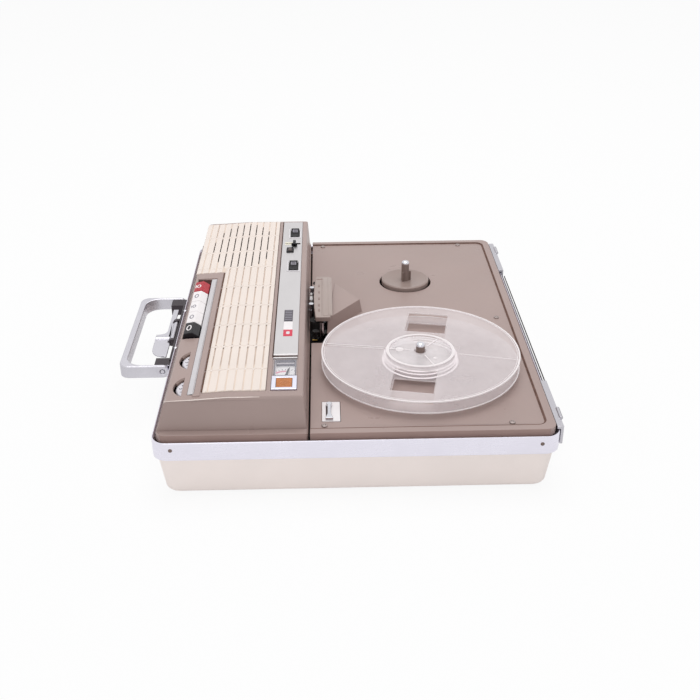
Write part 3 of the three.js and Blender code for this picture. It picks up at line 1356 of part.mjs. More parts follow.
function makeLatch() {
  const { left, right, stripReach, tongueReach, tongueLeft, sheet, barrel, barrelHalf, rollX, roll } = latch;
  const stripEnd = latchY - stripReach;
  const tongueEnd = latchY - tongueReach;
  const tongueRound = (latchY - tongueEnd) / 2;
  const plan = new THREE.Shape();
  plan.moveTo(left, latchY - barrel / 2);
  plan.lineTo(left, stripEnd);
  plan.lineTo(tongueLeft - tongueRound, stripEnd);
  plan.quadraticCurveTo(tongueLeft, stripEnd, tongueLeft, tongueEnd);
  plan.lineTo(right - tongueRound * 2, tongueEnd);
  plan.quadraticCurveTo(right, tongueEnd, right, latchY - barrel / 2);
  const half = sheet / 2;
  const blade = extrudeUp(plan, latchZ - half, latchZ + half, coarse / 2);
  const ears = [-1, 1].map((sign) => {
    const near = sign * (barrelHalf - gap);
    const far = sign * (barrelHalf + latch.earThickness + gap * 2);
    return box(Math.min(near, far), Math.max(near, far), latchY - latch.earHalf - gap, latchY + overrun,
      latchZ - overrun * 2, latchZ + overrun * 2);
  });
  const knuckle = rodAlongX(barrel, -barrelHalf, barrelHalf, latchY, latchZ);
  const ridge = rodAlongY(roll, rollX, tongueEnd, latchY - barrel, latchZ);
  const bore = rodAlongX(latch.pin + gap, -barrelHalf - overrun, barrelHalf + overrun, latchY, latchZ);
  piece("lid_latch", cut(join(cut(blade, ...ears), knuckle, ridge), bore), finishes.chrome);
}

// Rear: one folded rail across the band, whose raised ends carry the prongs that the lid hooks on to.
function makeRearRail() {
  const { thickness, drop, lift, lipReach, prong, railHeight } = rearRail;
  const halfX = caseSize.width / 2;
  const [from, to] = [halfX - rearRail.plateInner, halfX - rearRail.plateOuter];
  const [prongFrom, prongTo] = [halfX - rearRail.prongInner, halfX - rearRail.prongOuter];
  const face = caseRear + gap;
  const back = face + thickness;
  const parts = [box(-from - overrun, from + overrun, face, back, bandTop - drop, bandTop - drop + railHeight)];
  for (const sign of [-1, 1]) {
    const x0 = Math.min(sign * from, sign * to);
    const x1 = Math.max(sign * from, sign * to);
    parts.push(box(x0, x1, face, back, bandTop - drop, bandTop + lift));
    parts.push(box(x0, x1, back - lipReach, back, bandTop + gap, bandTop + lift));
    const p0 = Math.min(sign * prongFrom, sign * prongTo);
    const p1 = Math.max(sign * prongFrom, sign * prongTo);
    parts.push(rodAlongX(prong, p0, p1, back, bandTop + lift));
  }
  piece("lid_hinge_rail", join(...parts), finishes.aluminium);
}

makeShell();
makeFeet();
makeBand();
makeDeck();
makeDeckScrews();
makeConsole();
makeGrille();
makeControlPlate();
makeMeter();
makeLamp();
makeSwitches();
makeBracket();
makeKeys();
makeWheels();
makeSpeaker();
makeHeads();
makeHeadCover();
makeCapstan();
makePinch();
makeTurntables();
makeReel();
makeSpeedSelector();
makeChassis();
makeMotor();
makeBelt();
makeElectronics();
makeHandle();
makeLatch();
makeRearRail();

// The origin goes to the middle of the bounding box, on the surface that the feet stand on.
const reach = new THREE.Box3().setFromObject(recorder);
const centre = reach.getCenter(new THREE.Vector3());
recorder.position.set(-centre.x, -centre.y, -reach.min.z);

const group = new THREE.Group();
group.add(recorder);

export default group;
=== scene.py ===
# A portable reel-to-reel tape recorder with its lid off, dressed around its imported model.
# Sizes are in millimetres until a mesh is made, and every mesh is in metres; +Z is up and +Y the rear.

import json
import math

import bmesh
import bpy
import numpy as np
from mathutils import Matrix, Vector

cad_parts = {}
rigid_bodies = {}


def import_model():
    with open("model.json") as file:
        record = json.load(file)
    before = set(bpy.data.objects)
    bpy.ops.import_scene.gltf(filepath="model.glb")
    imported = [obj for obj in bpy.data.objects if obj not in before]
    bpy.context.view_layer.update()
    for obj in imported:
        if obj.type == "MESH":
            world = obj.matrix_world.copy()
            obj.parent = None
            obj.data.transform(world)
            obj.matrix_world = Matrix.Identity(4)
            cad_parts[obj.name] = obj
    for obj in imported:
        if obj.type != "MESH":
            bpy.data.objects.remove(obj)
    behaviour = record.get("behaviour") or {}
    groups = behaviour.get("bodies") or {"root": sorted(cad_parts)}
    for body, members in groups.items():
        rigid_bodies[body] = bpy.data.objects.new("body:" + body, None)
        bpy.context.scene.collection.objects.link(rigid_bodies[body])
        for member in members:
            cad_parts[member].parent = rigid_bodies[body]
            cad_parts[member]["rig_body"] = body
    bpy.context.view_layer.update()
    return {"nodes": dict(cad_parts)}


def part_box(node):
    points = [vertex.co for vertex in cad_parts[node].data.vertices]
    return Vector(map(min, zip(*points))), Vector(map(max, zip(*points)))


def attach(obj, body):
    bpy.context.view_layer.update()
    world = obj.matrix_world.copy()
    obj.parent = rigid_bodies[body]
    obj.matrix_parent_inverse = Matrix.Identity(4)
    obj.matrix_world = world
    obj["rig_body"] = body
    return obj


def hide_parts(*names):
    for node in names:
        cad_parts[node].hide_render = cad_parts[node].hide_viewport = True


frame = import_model()
METRES = 0.001

# The table is a plain pale sheet. It keeps the recorder's soft shadow, and to the camera and in gloss it is
# lifted most of the way to the white of the paper sweep behind it.
TABLE_HALF = 8000.0
TABLE_COLOUR = (240, 240, 241)
TABLE_LIFT = 0.9


def colour_of(red, green, blue):
    """A screen colour as the linear light that a shader takes: each share s becomes ((s + 0.055) / 1.055) ^ 2.4."""
    shares = np.array([red, green, blue]) / 255
    linear = np.where(shares <= 0.04045, shares / 12.92, ((shares + 0.055) / 1.055) ** 2.4)
    return (*linear.tolist(), 1.0)


def sheet_of(name, points, faces, material, edge=35.0):
    """A mesh object from an array of points in millimetres and a list of faces. Points that fall together become
    one, empty faces go, closed surfaces are turned to face outwards, and edges sharper than `edge` stay sharp."""
    mesh = bpy.data.meshes.new(name)
    mesh.from_pydata((np.asarray(points, float).reshape(-1, 3) * METRES).tolist(), [], faces)
    work = bmesh.new()
    work.from_mesh(mesh)
    bmesh.ops.remove_doubles(work, verts=work.verts, dist=1e-6)
    bmesh.ops.dissolve_degenerate(work, edges=work.edges, dist=1e-7)
    bmesh.ops.recalc_face_normals(work, faces=work.faces)
    work.to_mesh(mesh)
    work.free()
    mesh.shade_smooth()
    mesh.set_sharp_from_angle(angle=math.radians(edge))
    piece = bpy.data.objects.new(name, mesh)
    bpy.context.scene.collection.objects.link(piece)
    piece.data.materials.append(material)
    return piece


def blank_finish(name):
    """A new material, with its tree of nodes and its main shader."""
    material = bpy.data.materials.new(name)
    material.use_nodes = True
    return material, material.node_tree, material.node_tree.nodes["Principled BSDF"]


def feed(tree, node, inputs):
    """Gives a node's sockets, called by name or number, their values, or links them to another node's output."""
    for socket, value in inputs.items():
        if isinstance(value, bpy.types.NodeSocket):
            tree.links.new(value, node.inputs[socket])
        else:
            node.inputs[socket].default_value = value


def wired(tree, kind, inputs, out=0, **settings):
    """A new node of a kind, with its own settings, fed as above. Gives back its output `out`."""
    node = tree.nodes.new("ShaderNode" + kind)
    for setting, value in settings.items():
        setattr(node, setting, value)
    feed(tree, node, inputs)
    return node.outputs[out]


def seen_directly(tree):
    """1 for the camera and for gloss and glass, 0 for the light that falls on things."""
    path = tree.nodes.new("ShaderNodeLightPath").outputs
    first = wired(tree, "Math", {0: path["Is Camera Ray"], 1: path["Is Glossy Ray"]}, operation="MAXIMUM")
    return wired(tree, "Math", {0: first, 1: path["Is Transmission Ray"]}, operation="MAXIMUM")


table_finish, tree, shader = blank_finish("table_paper")
feed(tree, shader, {"Base Color": colour_of(*TABLE_COLOUR), "Roughness": 0.9, "Specular IOR Level": 0.0})
lift = wired(tree, "Math", {0: seen_directly(tree), 1: TABLE_LIFT}, operation="MULTIPLY")
lifted = wired(tree, "MixShader", {0: lift, 1: shader.outputs[0], 2: wired(tree, "Emission", {})})
feed(tree, tree.nodes["Material Output"], {"Surface": lifted})
table_corners = [(x * TABLE_HALF, y * TABLE_HALF, 0) for x, y in ((-1, -1), (1, -1), (1, 1), (-1, 1))]
sheet_of("table_sheet", table_corners, [(0, 1, 2, 3)], table_finish)

# The studio light: an even pale surround, one broad lamp overhead, and a weaker one on the near side that
# draws the long highlights along the rims.
SURROUND = 0.62
OVERHEAD_WATTS = 22
NEAR_SIDE_WATTS = 5
LAMP_TARGET = (0, 0, 0.05)
WHITE = (1, 1, 1, 1)
world = bpy.data.worlds.new("pale_surround")
bpy.context.scene.world = world
world.use_nodes = True
tree = world.node_tree
dim = tree.nodes["Background"]
feed(tree, dim, {"Color": WHITE, "Strength": SURROUND})
bright = wired(tree, "Background", {"Color": WHITE, "Strength": 1.0})
surround = wired(tree, "MixShader", {0: seen_directly(tree), 1: dim.outputs[0], 2: bright})
feed(tree, tree.nodes["World Output"], {"Surface": surround})


def soft_lamp(name, place, size, watts):
    """A square lamp `size` metres wide at a place in metres, turned to face the recorder."""
    lamp = bpy.data.lights.new(name, "AREA")
    lamp.shape = "SQUARE"
    lamp.size = size
    lamp.energy = watts
    holder = bpy.data.objects.new(name, lamp)
    bpy.context.scene.collection.objects.link(holder)
    holder.location = place
    holder.rotation_euler = (Vector(place) - Vector(LAMP_TARGET)).to_track_quat("Z", "Y").to_euler()


soft_lamp("overhead_lamp", (-0.3, 0.1, 2.2), 1.6, OVERHEAD_WATTS)
soft_lamp("near_side_lamp", (2.2, -0.6, 1.0), 1.0, NEAR_SIDE_WATTS)

# The camera stands off the recorder's right end and looks down on it, where the photograph was taken.
EYE_PLACE = (0.878648, -0.000613, 0.511021)
EYE_TURN = (61.226108, 0.230585, 88.449445)
EYE_LENS = 51.847
FILM_WIDTH = 36
view = bpy.data.cameras.new("photo_camera")
view.sensor_width = FILM_WIDTH
view.sensor_fit = "HORIZONTAL"
view.lens = EYE_LENS
view.clip_start = 0.01
eye = bpy.data.objects.new("photo_camera", view)
bpy.context.scene.collection.objects.link(eye)
eye.location = EYE_PLACE
eye.rotation_euler = [math.radians(angle) for angle in EYE_TURN]
bpy.context.scene.camera = eye
bpy.context.scene.view_settings.view_transform = "Standard"

# The bottom shell: one deep injection-moulded tub of cream plastic with drafted sides and a rounded foot.
# Its rim is tucked up inside the metal band. The skin has a very fine grain and a few scuffs from use.
CASE_HALF = (202.5, 167.0)
CASE_MIDDLE_Y = 21.55
CASE_CORNER = 13.0
LEAST_CORNER = 3.25
CORNER_STEPS = 10
SHELL_WALL = 2.6
SHELL_UNDER = 2.5


def rounded_line(half_x, half_y, corner, steps=CORNER_STEPS):
    """A rectangle in plan whose four corners are quarter circles of radius `corner`, each cut into `steps` chords.
    Arrays of half widths and corners give one outline for each."""
    half_x, half_y, corner = np.broadcast_arrays(*[np.asarray(size, float) for size in (half_x, half_y, corner)])
    turn = np.linspace(0, np.pi / 2, steps + 1)
    angles = (turn[None, :] + np.pi / 2 * np.arange(4)[:, None]).ravel()
    side_x = np.repeat([1, -1, -1, 1], steps + 1)
    side_y = np.repeat([1, 1, -1, -1], steps + 1)
    x = side_x * (half_x - corner)[..., None] + corner[..., None] * np.cos(angles)
    y = side_y * (half_y - corner)[..., None] + corner[..., None] * np.sin(angles)
    return np.stack([x, y], -1)


def raised(plan, heights):
    """Rings of points: each line in plan, of x and y, lifted to its own height."""
    levels = np.broadcast_to(np.asarray(heights, float)[:, None, None], (*plan.shape[:2], 1))
    return np.concatenate([plan, levels], -1)


def capped(grid):
    """A grid of points closed at both ends: a row more at each, all its points at the middle of the end row."""
    first, last = [np.broadcast_to(row.mean(0), row.shape)[None] for row in (grid[0], grid[-1])]
    return np.concatenate([first, grid, last])


def around_case(insets, heights, fall=1.0):
    """A profile of insets and heights carried round the case's outline: one ring of points for each step. The
    corners get smaller by the share `fall` of the inset."""
    corners = np.maximum(CASE_CORNER - insets * fall, LEAST_CORNER)
    return raised(rounded_line(CASE_HALF[0] - insets, CASE_HALF[1] - insets, corners) + (0, CASE_MIDDLE_Y), heights)


def laid(name, material, body, slot, *grids, replaces=None, edge=35.0):
    """One piece from grids of points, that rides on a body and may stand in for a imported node. Faces run between
    neighbouring rows and columns of each grid, and its last column is joined to its first."""
    faces, first = [], 0
    for grid in grids:
        index = first + np.arange(grid.shape[0] * grid.shape[1]).reshape(grid.shape[:2])
        beside = np.roll(index, -1, 1)
        faces += np.stack([index[:-1], beside[:-1], beside[1:], index[1:]], -1).reshape(-1, 4).tolist()
        first += index.size
    piece = sheet_of(name, np.concatenate([grid.reshape(-1, 3) for grid in grids]), faces, material, edge)
    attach(piece, body)
    if replaces:
        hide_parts(replaces)


def noise(tree, place, width, detail=3.0, roughness=0.55):
    """A cloud noise whose patches are about `width` mm across."""
    return wired(tree, "TexNoise", {"Vector": place, "Scale": 1000 / width, "Detail": detail,
                                    "Roughness": roughness}, "Fac")


def ranged(tree, value, to_low, to_high, low=0.3, high=0.7):
    """A value carried over from the range `low` to `high` to the range `to_low` to `to_high`."""
    return wired(tree, "MapRange", {"Value": value, 1: low, 2: high, 3: to_low, 4: to_high}, "Result")


def mixed(tree, first, second, share):
    """Two colours mixed by a share of the second."""
    return wired(tree, "Mix", {"A": first, "B": second, "Factor": share}, "Result", data_type="RGBA")


def shaded(colour, share):
    """A screen colour as light, darkened or lightened to a share of itself."""
    return (*np.minimum(np.array(colour_of(*colour)[:3]) * share, 1).tolist(), 1.0)


def moulded(name, colour, rough, drift=0.05, patch=70.0, grain=0.4, relief=0.012, scuffs=0.0, gloss=0.35):
    """Moulded plastic: its colour drifts by the share `drift` over patches `patch` mm across, its roughness drifts
    on a smaller noise, and its skin has a grain `grain` mm across and `relief` mm deep. `scuffs` is about the
    share of the surface that carries small darker marks, and `gloss` the strength of its shine."""
    material, tree, shader = blank_finish(name)
    place = tree.nodes.new("ShaderNodeTexCoord").outputs["Object"]
    skin = mixed(tree, shaded(colour, 1 - drift), shaded(colour, 1 + drift),
                 ranged(tree, noise(tree, place, patch), 0, 1))
    if scuffs:
        spots = ranged(tree, noise(tree, place, 3.0, 6.0, 0.7), 0, 0.6, 0.74 - scuffs, 0.80 - scuffs)
        skin = mixed(tree, skin, shaded(colour, 0.45), spots)
    bumps = wired(tree, "Bump", {"Strength": 0.35, "Distance": relief * METRES,
                                 "Height": noise(tree, place, grain, 2.0)}, "Normal")
    feed(tree, shader, {
        "Base Color": skin, "Normal": bumps, "Specular IOR Level": gloss,
        "Roughness": ranged(tree, noise(tree, place, patch / 4, 5.0), rough - 0.07, rough + 0.07)})
    return material


# The outer skin rises through a quarter round and a drafted side to the rim, and the inner skin comes back down.
swing = np.linspace(0, np.pi / 2, 10)
foot_inset = 7 + 4 * (1 - np.sin(swing))
foot_height = SHELL_UNDER + 5 * (1 - np.cos(swing))
outer_inset = np.concatenate([[120, 60, 24], foot_inset, [3.15, 3.0, 3.0, 3.4]])
outer_height = np.concatenate([[SHELL_UNDER] * 3, foot_height, [38.6, 39.5, 45.3, 45.7]])
inner_inset = np.concatenate([outer_inset[:-4] + SHELL_WALL, [5.75, 5.6, 5.6, 5.2]])
inner_height = np.concatenate([outer_height[:-4] + SHELL_WALL, [39.5, 40.5, 45.3, 45.7]])
shell_rings = around_case(np.concatenate([outer_inset, inner_inset[::-1]]),
                          np.concatenate([outer_height, inner_height[::-1]]), 0.25)
cream_plastic = moulded("cream_moulding", (249, 238, 233), rough=0.5, drift=0.03, scuffs=0.03)
laid("bottom_tub", cream_plastic, "case", "cream_shell", capped(shell_rings), replaces="bottom_shell")

# The feet: four turned rubber buttons, each with a softened rim and a recess for the screw that holds it.
FOOT_X = 165.0
FOOT_Y = 131.0


def turned_points(profile, centre, steps):
    """A profile of radii and heights turned about an upright axis: x = cx + r cos a, y = cy + r sin a."""
    radius, height = np.array(profile, float).T
    angle = np.linspace(0, 2 * np.pi, steps, endpoint=False)
    circle = np.stack([np.cos(angle), np.sin(angle)], -1)
    return raised(radius[:, None, None] * circle + np.array(centre[:2]), height)


foot_profile = [(0, 1.0), (2.6, 1.0), (3.0, 0.7), (3.2, 0.15), (3.5, 0.0), (7.8, 0.0), (8.5, 0.2), (8.9, 0.6),
                (9.0, 1.2), (9.0, 1.9), (8.8, 2.2), (0, 2.2)]
foot_rubber = moulded("foot_rubber", (38, 36, 36), rough=0.8, drift=0.12, patch=8.0, grain=0.5, relief=0.05)
for end, side_x in (("left", -1), ("right", 1)):
    for face, side_y in (("front", -1), ("rear", 1)):
        centre = (side_x * FOOT_X, CASE_MIDDLE_Y + side_y * FOOT_Y)
        laid(f"rubber_foot_{face}_{end}", foot_rubber, "case", "black_rubber",
             turned_points(foot_profile, centre, 48), replaces=f"foot_{face}_{end}")

# The trim band: drawn aluminium with a slightly crowned face, bent round the case and joined at the rear. A web
# inside it carries the covers. It is brushed along its length, and dulled in soft patches.


def brushed(name, colour, rough=0.3, along=(1, 1, 1), width=0.25, streak=0.08, play=0.1, dull=0.0, depth=0.004):
    """Metal with fine lines: a noise `width` mm fine, drawn out along the axes whose number in `along` is small,
    shades the colour by the share `streak` and the roughness by `play`. `dull` adds broad cloudy patches."""
    material, tree, shader = blank_finish(name)
    place = tree.nodes.new("ShaderNodeTexCoord").outputs["Object"]
    drawn = wired(tree, "Mapping", {"Vector": place, "Scale": along}, "Vector")
    lines = noise(tree, drawn, width, 3.0, 0.5)
    clouds = noise(tree, place, 25.0, 4.0, 0.5)
    tint = mixed(tree, shaded(colour, 1 - streak), shaded(colour, 1 + streak), ranged(tree, lines, 0, 1))
    shine = wired(tree, "Math", {0: ranged(tree, lines, rough - play / 2, rough + play / 2),
                                 1: ranged(tree, clouds, -play / 2, play / 2)}, operation="ADD")
    feed(tree, shader, {
        "Base Color": mixed(tree, tint, shaded(colour, 0.72), ranged(tree, clouds, 0, dull)),
        "Roughness": shine, "Metallic": 1.0,
        "Normal": wired(tree, "Bump", {"Strength": 0.3, "Distance": depth * METRES, "Height": lines}, "Normal")})
    return material


band_profile = np.array([
    (0.7, 39.5), (0.35, 39.65), (0.15, 40.0), (0.08, 41.5), (0.0, 45.0), (0.0, 51.0), (0.08, 54.5), (0.15, 56.0),
    (0.35, 56.35), (0.6, 56.5), (0.9, 56.45), (2.3, 55.2), (2.4, 54.9), (2.4, 48.5), (5.6, 48.5), (5.8, 48.3),
    (5.8, 46.2), (5.6, 46.0), (2.4, 46.0), (2.4, 39.9), (2.2, 39.6), (1.9, 39.5), (0.7, 39.5)])
band_metal = brushed("band_aluminium", (232, 229, 240), along=(0.02, 0.02, 1.0), streak=0.03, dull=0.08)
laid("metal_band", band_metal, "case", "band_aluminium", around_case(*band_profile.T), replaces="trim_band",
     edge=30)

# Rivets hold the band: a dull domed head near each end of its sides. Two bright dome screws pass down through its
# front edge into the console.
RIVET_Z = 49.6
RIVET_YS = (-129.2, 172.3)
DOME_SCREW_XS = (-37.3, 40.6)
DOME_SCREW_Y = -144.15
DOME_SCREW_Z = 56.2
rivet_profile = [(0, -1.0), (1.7, -1.0), (1.7, 0.1), (1.5, 0.4), (1.0, 0.62), (0.4, 0.7), (0, 0.7)]
rivet_metal = brushed("dull_rivet", (128, 112, 106), rough=0.5, width=1.0, dull=0.4)
bright_metal = brushed("chrome_plate", (214, 214, 220), rough=0.12, streak=0.03, play=0.06, width=3.0, depth=0.001)
standing = turned_points(rivet_profile, (0, 0), 16)
x, y, z = np.moveaxis(standing, -1, 0)
laid("band_rivets", rivet_metal, "case", "bright_chrome",
     *[np.stack([side * (CASE_HALF[0] + z), side * x + place, y + RIVET_Z], -1)
       for side in (1, -1) for place in RIVET_YS])
laid("band_dome_screws", bright_metal, "case", "bright_chrome",
     *[standing + (place, DOME_SCREW_Y, DOME_SCREW_Z) for place in DOME_SCREW_XS])

# Inside the case: the pressed chassis, the motor and its belt, the flywheel, the circuit board, the transformer
# and the loudspeaker. They are seen through the gaps only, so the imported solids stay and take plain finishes.


def dress(material, *nodes):
    """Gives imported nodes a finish."""
    for node in nodes:
        piece = frame["nodes"][node]
        if not piece.material_slots:
            piece.data.materials.append(material)
        for place in piece.material_slots:
            place.material = material


zinc = brushed("zinc_plate", (176, 176, 172), rough=0.42, streak=0.1, dull=0.4, width=2.0)
ground_steel = brushed("ground_steel", (190, 190, 194), width=0.4)
dark_plastic = moulded("black_moulding", (20, 17, 21), rough=0.36, drift=0.15, patch=20.0, scuffs=0.02, gloss=0.16)
gap_painted_shade = moulded("gap_painted_shade", (22, 20, 20), rough=0.5, drift=0.15, patch=12.0, gloss=0.25)
belt_rubber = moulded("belt_rubber", (34, 33, 33), rough=0.7, drift=0.1, patch=10.0)
board_face = moulded("board_laminate", (134, 103, 62), rough=0.55, drift=0.12, patch=12.0, grain=0.8)
cone_paper = moulded("cone_paper", (58, 50, 44), rough=0.9, drift=0.12, patch=6.0, grain=0.6, relief=0.1)
dress(zinc, "mains_transformer", "controls_bracket", "speaker_basket", "pinch_arm")
dress(ground_steel, "motor", "motor_pulley", "flywheel", "key_shaft", "key_spring_comb")
dress(bright_metal, "capstan_shaft", "tape_heads")
# The black of the chassis and head plates is painted shade: it makes the gaps into the case read dark.
dress(gap_painted_shade, "chassis_plate", "head_plate")
dress(belt_rubber, "drive_belt", "pinch_roller")
dress(board_face, "circuit_board")
dress(cone_paper, "speaker_cone")

# The deck plate: a rimmed moulding of taupe plastic that carries the raised three-cornered boss, the openings
# for the turntables and the heads, and five screws. It is dusty, with fine specks and rubbed patches.
ROUNDED_OVER = 32.0
SMOOTH_UNDER = 38.0
FLAT_UNDER = 0.6


def softened(name, node, width, material, segments=2):
    """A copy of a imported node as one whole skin: its loose triangles joined, flat faces made whole again, and each
    edge sharper than ROUNDED_OVER degrees rounded over `width` mm."""
    mesh = frame["nodes"][node].data.copy()
    mesh.name = name
    work = bmesh.new()
    work.from_mesh(mesh)
    bmesh.ops.remove_doubles(work, verts=work.verts, dist=1e-6)
    bmesh.ops.dissolve_limit(work, angle_limit=math.radians(FLAT_UNDER), verts=work.verts, edges=work.edges)
    work.to_mesh(mesh)
    work.free()
    mesh.shade_smooth()
    mesh.set_sharp_from_angle(angle=math.radians(SMOOTH_UNDER))
    mesh.materials.clear()
    mesh.materials.append(material)
    piece = bpy.data.objects.new(name, mesh)
    bpy.context.scene.collection.objects.link(piece)
    bevel = piece.modifiers.new("rounded_edges", "BEVEL")
    bevel.width = width * METRES
    bevel.segments = segments
    bevel.limit_method = "ANGLE"
    bevel.angle_limit = math.radians(ROUNDED_OVER)
    bevel.use_clamp_overlap = False
    even = piece.modifiers.new("even_shading", "WEIGHTED_NORMAL")
    even.mode = "FACE_AREA_WITH_ANGLE"
    even.keep_sharp = True
    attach(piece, frame["nodes"][node]["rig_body"])
    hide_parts(node)
    return piece


def refinish(piece, material, low=(-300, -300, 0), high=(300, 300, 120), facing=None, walls=False):
    """A second finish on the faces of a piece whose middles lie between two corners, in millimetres. Where a
    direction `facing` is given, only the faces that look that way count, and with `walls` only the upright ones."""
    faces = piece.data.polygons
    middles = np.empty((len(faces), 3))
    outward = np.empty((len(faces), 3))
    index = np.empty(len(faces), int)
    faces.foreach_get("center", middles.ravel())
    faces.foreach_get("normal", outward.ravel())
    faces.foreach_get("material_index", index)
    chosen = ((middles / METRES > low) & (middles / METRES < high)).all(1)
    if facing is not None:
        chosen &= outward @ np.array(facing, float) > 0.7
    if walls:
        chosen &= np.abs(outward[:, 2]) < 0.5
    index[chosen] = len(piece.data.materials)
    piece.data.materials.append(material)
    faces.foreach_set("material_index", index)


def carried(path, profile):
    """A profile of offsets and heights carried along an open path in plan: at each point the offset is taken along
    the path's normal, the unit tangent turned a quarter to the right, lengthened at corners to keep the width."""
    steps = np.diff(path, axis=0, append=path[-1:] * 2 - path[-2:-1])
    steps /= np.linalg.norm(steps, axis=1, keepdims=True)
    tangent = steps + np.concatenate([steps[:1], steps[:-1]])
    tangent /= np.linalg.norm(tangent, axis=1, keepdims=True)
    across = np.stack([tangent[:, 1], -tangent[:, 0]], -1) / (tangent * steps).sum(1, keepdims=True)
    offset, height = np.array(profile, float).T
    plan = path[:, None] + across[:, None] * offset[None, :, None]
    return capped(np.concatenate([plan, np.broadcast_to(height[None, :, None], (*plan.shape[:2], 1))], -1))


taupe_plastic = moulded("taupe_moulding", (170, 150, 145), rough=0.34, drift=0.045, patch=90.0, scuffs=0.05,
                        gloss=0.26)
# A darker copy of the taupe paints shade on upright walls and in the seam between the covers.
taupe_painted_shade = moulded("taupe_skirt_painted_shade", (160, 134, 127), rough=0.45, drift=0.06, patch=40.0, scuffs=0.05)
deck = softened("deck_moulding", "deck_plate", 0.45, taupe_plastic)
# The deck's outer end walls take the darker copy as painted shade.
refinish(deck, taupe_painted_shade, low=(198, -20, 40), high=(200, 200, 61), facing=(1, 0, 0))
refinish(deck, taupe_painted_shade, low=(-200, -20, 40), high=(-198, 200, 61), facing=(-1, 0, 0))

# A thin dark line of painted shade fills the corner where the deck's floor meets its rim.
FLOOR_HALF_X = 191.2
FLOOR_REAR = 177.25
FLOOR_FRONT = -16.0
FLOOR_CORNER = 7.5
FLOOR_Z = 60.3
quarter = np.linspace(0, np.pi / 2, 7)
arc = np.stack([np.cos(quarter), np.sin(quarter)], -1) * FLOOR_CORNER
right_arc = arc + (FLOOR_HALF_X - FLOOR_CORNER, FLOOR_REAR - FLOOR_CORNER)
left_arc = right_arc[::-1] * (-1, 1)
floor_edge = np.concatenate([[(FLOOR_HALF_X, FLOOR_FRONT)], right_arc, left_arc, [(-FLOOR_HALF_X, FLOOR_FRONT)]])
shade_profile = [(0.8, 61.3), (0.8, 61.56), (0.05, 61.56), (-0.3, 60.6), (-1.0, 60.36), (-1.0, 60.1), (0.05, 60.1)]
corner_painted_shade = moulded("corner_painted_shade", (118, 94, 86), rough=0.8, drift=0.2, patch=8.0, gloss=0.1)
laid("deck_edge_painted_shade", corner_painted_shade, "case", "taupe_plastic", carried(floor_edge, shade_profile))

# The deck screws: five dull heads with a small recess for the driver, sunk to the floor.
screw_metal = brushed("deck_screw_metal", (170, 158, 155), rough=0.4, width=0.6, dull=0.5)
for count, node in enumerate(sorted(name for name in frame["nodes"] if name.startswith("deck_screw"))):
    low, high = [np.array(corner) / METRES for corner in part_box(node)]
    radius, top = (high - low)[0] / 2, high[2]
    screw_profile = [(0, low[2]), (1.3, low[2]), (1.3, FLOOR_Z - 0.6), (radius, FLOOR_Z - 0.2),
                     (radius, top - 0.45), (radius - 0.35, top - 0.12), (1.3, top), (0.9, top - 0.5),
                     (0, top - 0.6)]
    laid(f"screw_head_{count + 1}", screw_metal, "case", "plain_steel",
         turned_points(screw_profile, (low + high)[:2] / 2, 24), replaces=node)

# The turntables: light taupe discs with a chamfered edge and a dished pad, each pressed on a brown plastic spindle
# that has three driving fins and a bright steel point. The reels drop over the fins.
SPINDLE_Y = 82.05
SUPPLY_X = -91.0
TAKEUP_X = 89.5
FIN_ANGLES = (90.0, 210.0, 330.0)


def slab(outline, half, first_axis, second_axis, across, origin):
    """A flat plate: an outline of two measures laid along two directions, made `half` thick to each side along a
    third, its edges taken in a little at both faces."""
    first_axis, second_axis, across = (np.array(axis, float) for axis in (first_axis, second_axis, across))
    middle = outline.mean(0)
    inner = middle + (outline - middle) * 0.93
    rows = [(inner, -half), (outline, -half + 0.2), (outline, half - 0.2), (inner, half)]
    return capped(np.stack([origin + row[:, :1] * first_axis + row[:, 1:] * second_axis + depth * across
                            for row, depth in rows]))


def upright(outline, half, place, turn=0.0):
    """An upright plate: an outline of distances along the direction at `turn` in plan and of heights, `half` thick
    to each side, about a place in plan."""
    along = (math.cos(turn), math.sin(turn), 0)
    return slab(outline, half, along, (0, 0, 1), (-along[1], along[0], 0), np.array([*place[:2], 0.0]))


disc_plastic = moulded("disc_moulding", (156, 138, 132), rough=0.36, drift=0.04, patch=30.0)
spindle_plastic = moulded("spindle_moulding", (126, 108, 102), rough=0.4, drift=0.08, patch=6.0)
disc_profile = [(4.02, 62.2), (8.0, 62.25), (22.0, 63.9), (22.6, 64.05), (23.4, 64.05), (24.0, 63.85), (24.7, 63.1),
                (24.7, 58.9), (24.5, 58.7), (22.9, 58.7), (22.7, 58.9), (22.7, 60.4), (8.0, 60.4), (8.0, 57.2),
                (4.02, 57.2), (4.02, 62.2)]
spindle_profile = [(0, 42.5), (4.0, 42.5), (4.0, 80.6), (3.9, 80.8), (0, 80.8)]
point_profile = [(0, 80.8), (3.9, 80.8), (4.0, 81.2), (3.85, 82.2), (3.3, 83.2), (2.2, 83.8), (1.0, 84.05),
                 (0, 84.05)]
fin_outline = np.array([(3.6, 62.0), (6.0, 62.0), (6.0, 71.6), (5.7, 72.3), (5.0, 72.55), (4.2, 72.55),
                        (3.6, 73.0)])
for body, x in (("supply", SUPPLY_X), ("takeup", TAKEUP_X)):
    axis = (x, SPINDLE_Y)
    fins = [upright(fin_outline, 0.7, axis, turn) for turn in np.radians(FIN_ANGLES)]
    node = f"{body}_turntable"
    laid(f"{body}_disc", disc_plastic, body, "taupe_plastic",
         turned_points(disc_profile, axis, 96), replaces=node)
    laid(f"{body}_spindle", spindle_plastic, body, "taupe_plastic",
         turned_points(spindle_profile, axis, 48), *fins, replaces=node)
    laid(f"{body}_point", bright_metal, body, "bright_chrome",
         turned_points(point_profile, axis, 48), replaces=node)

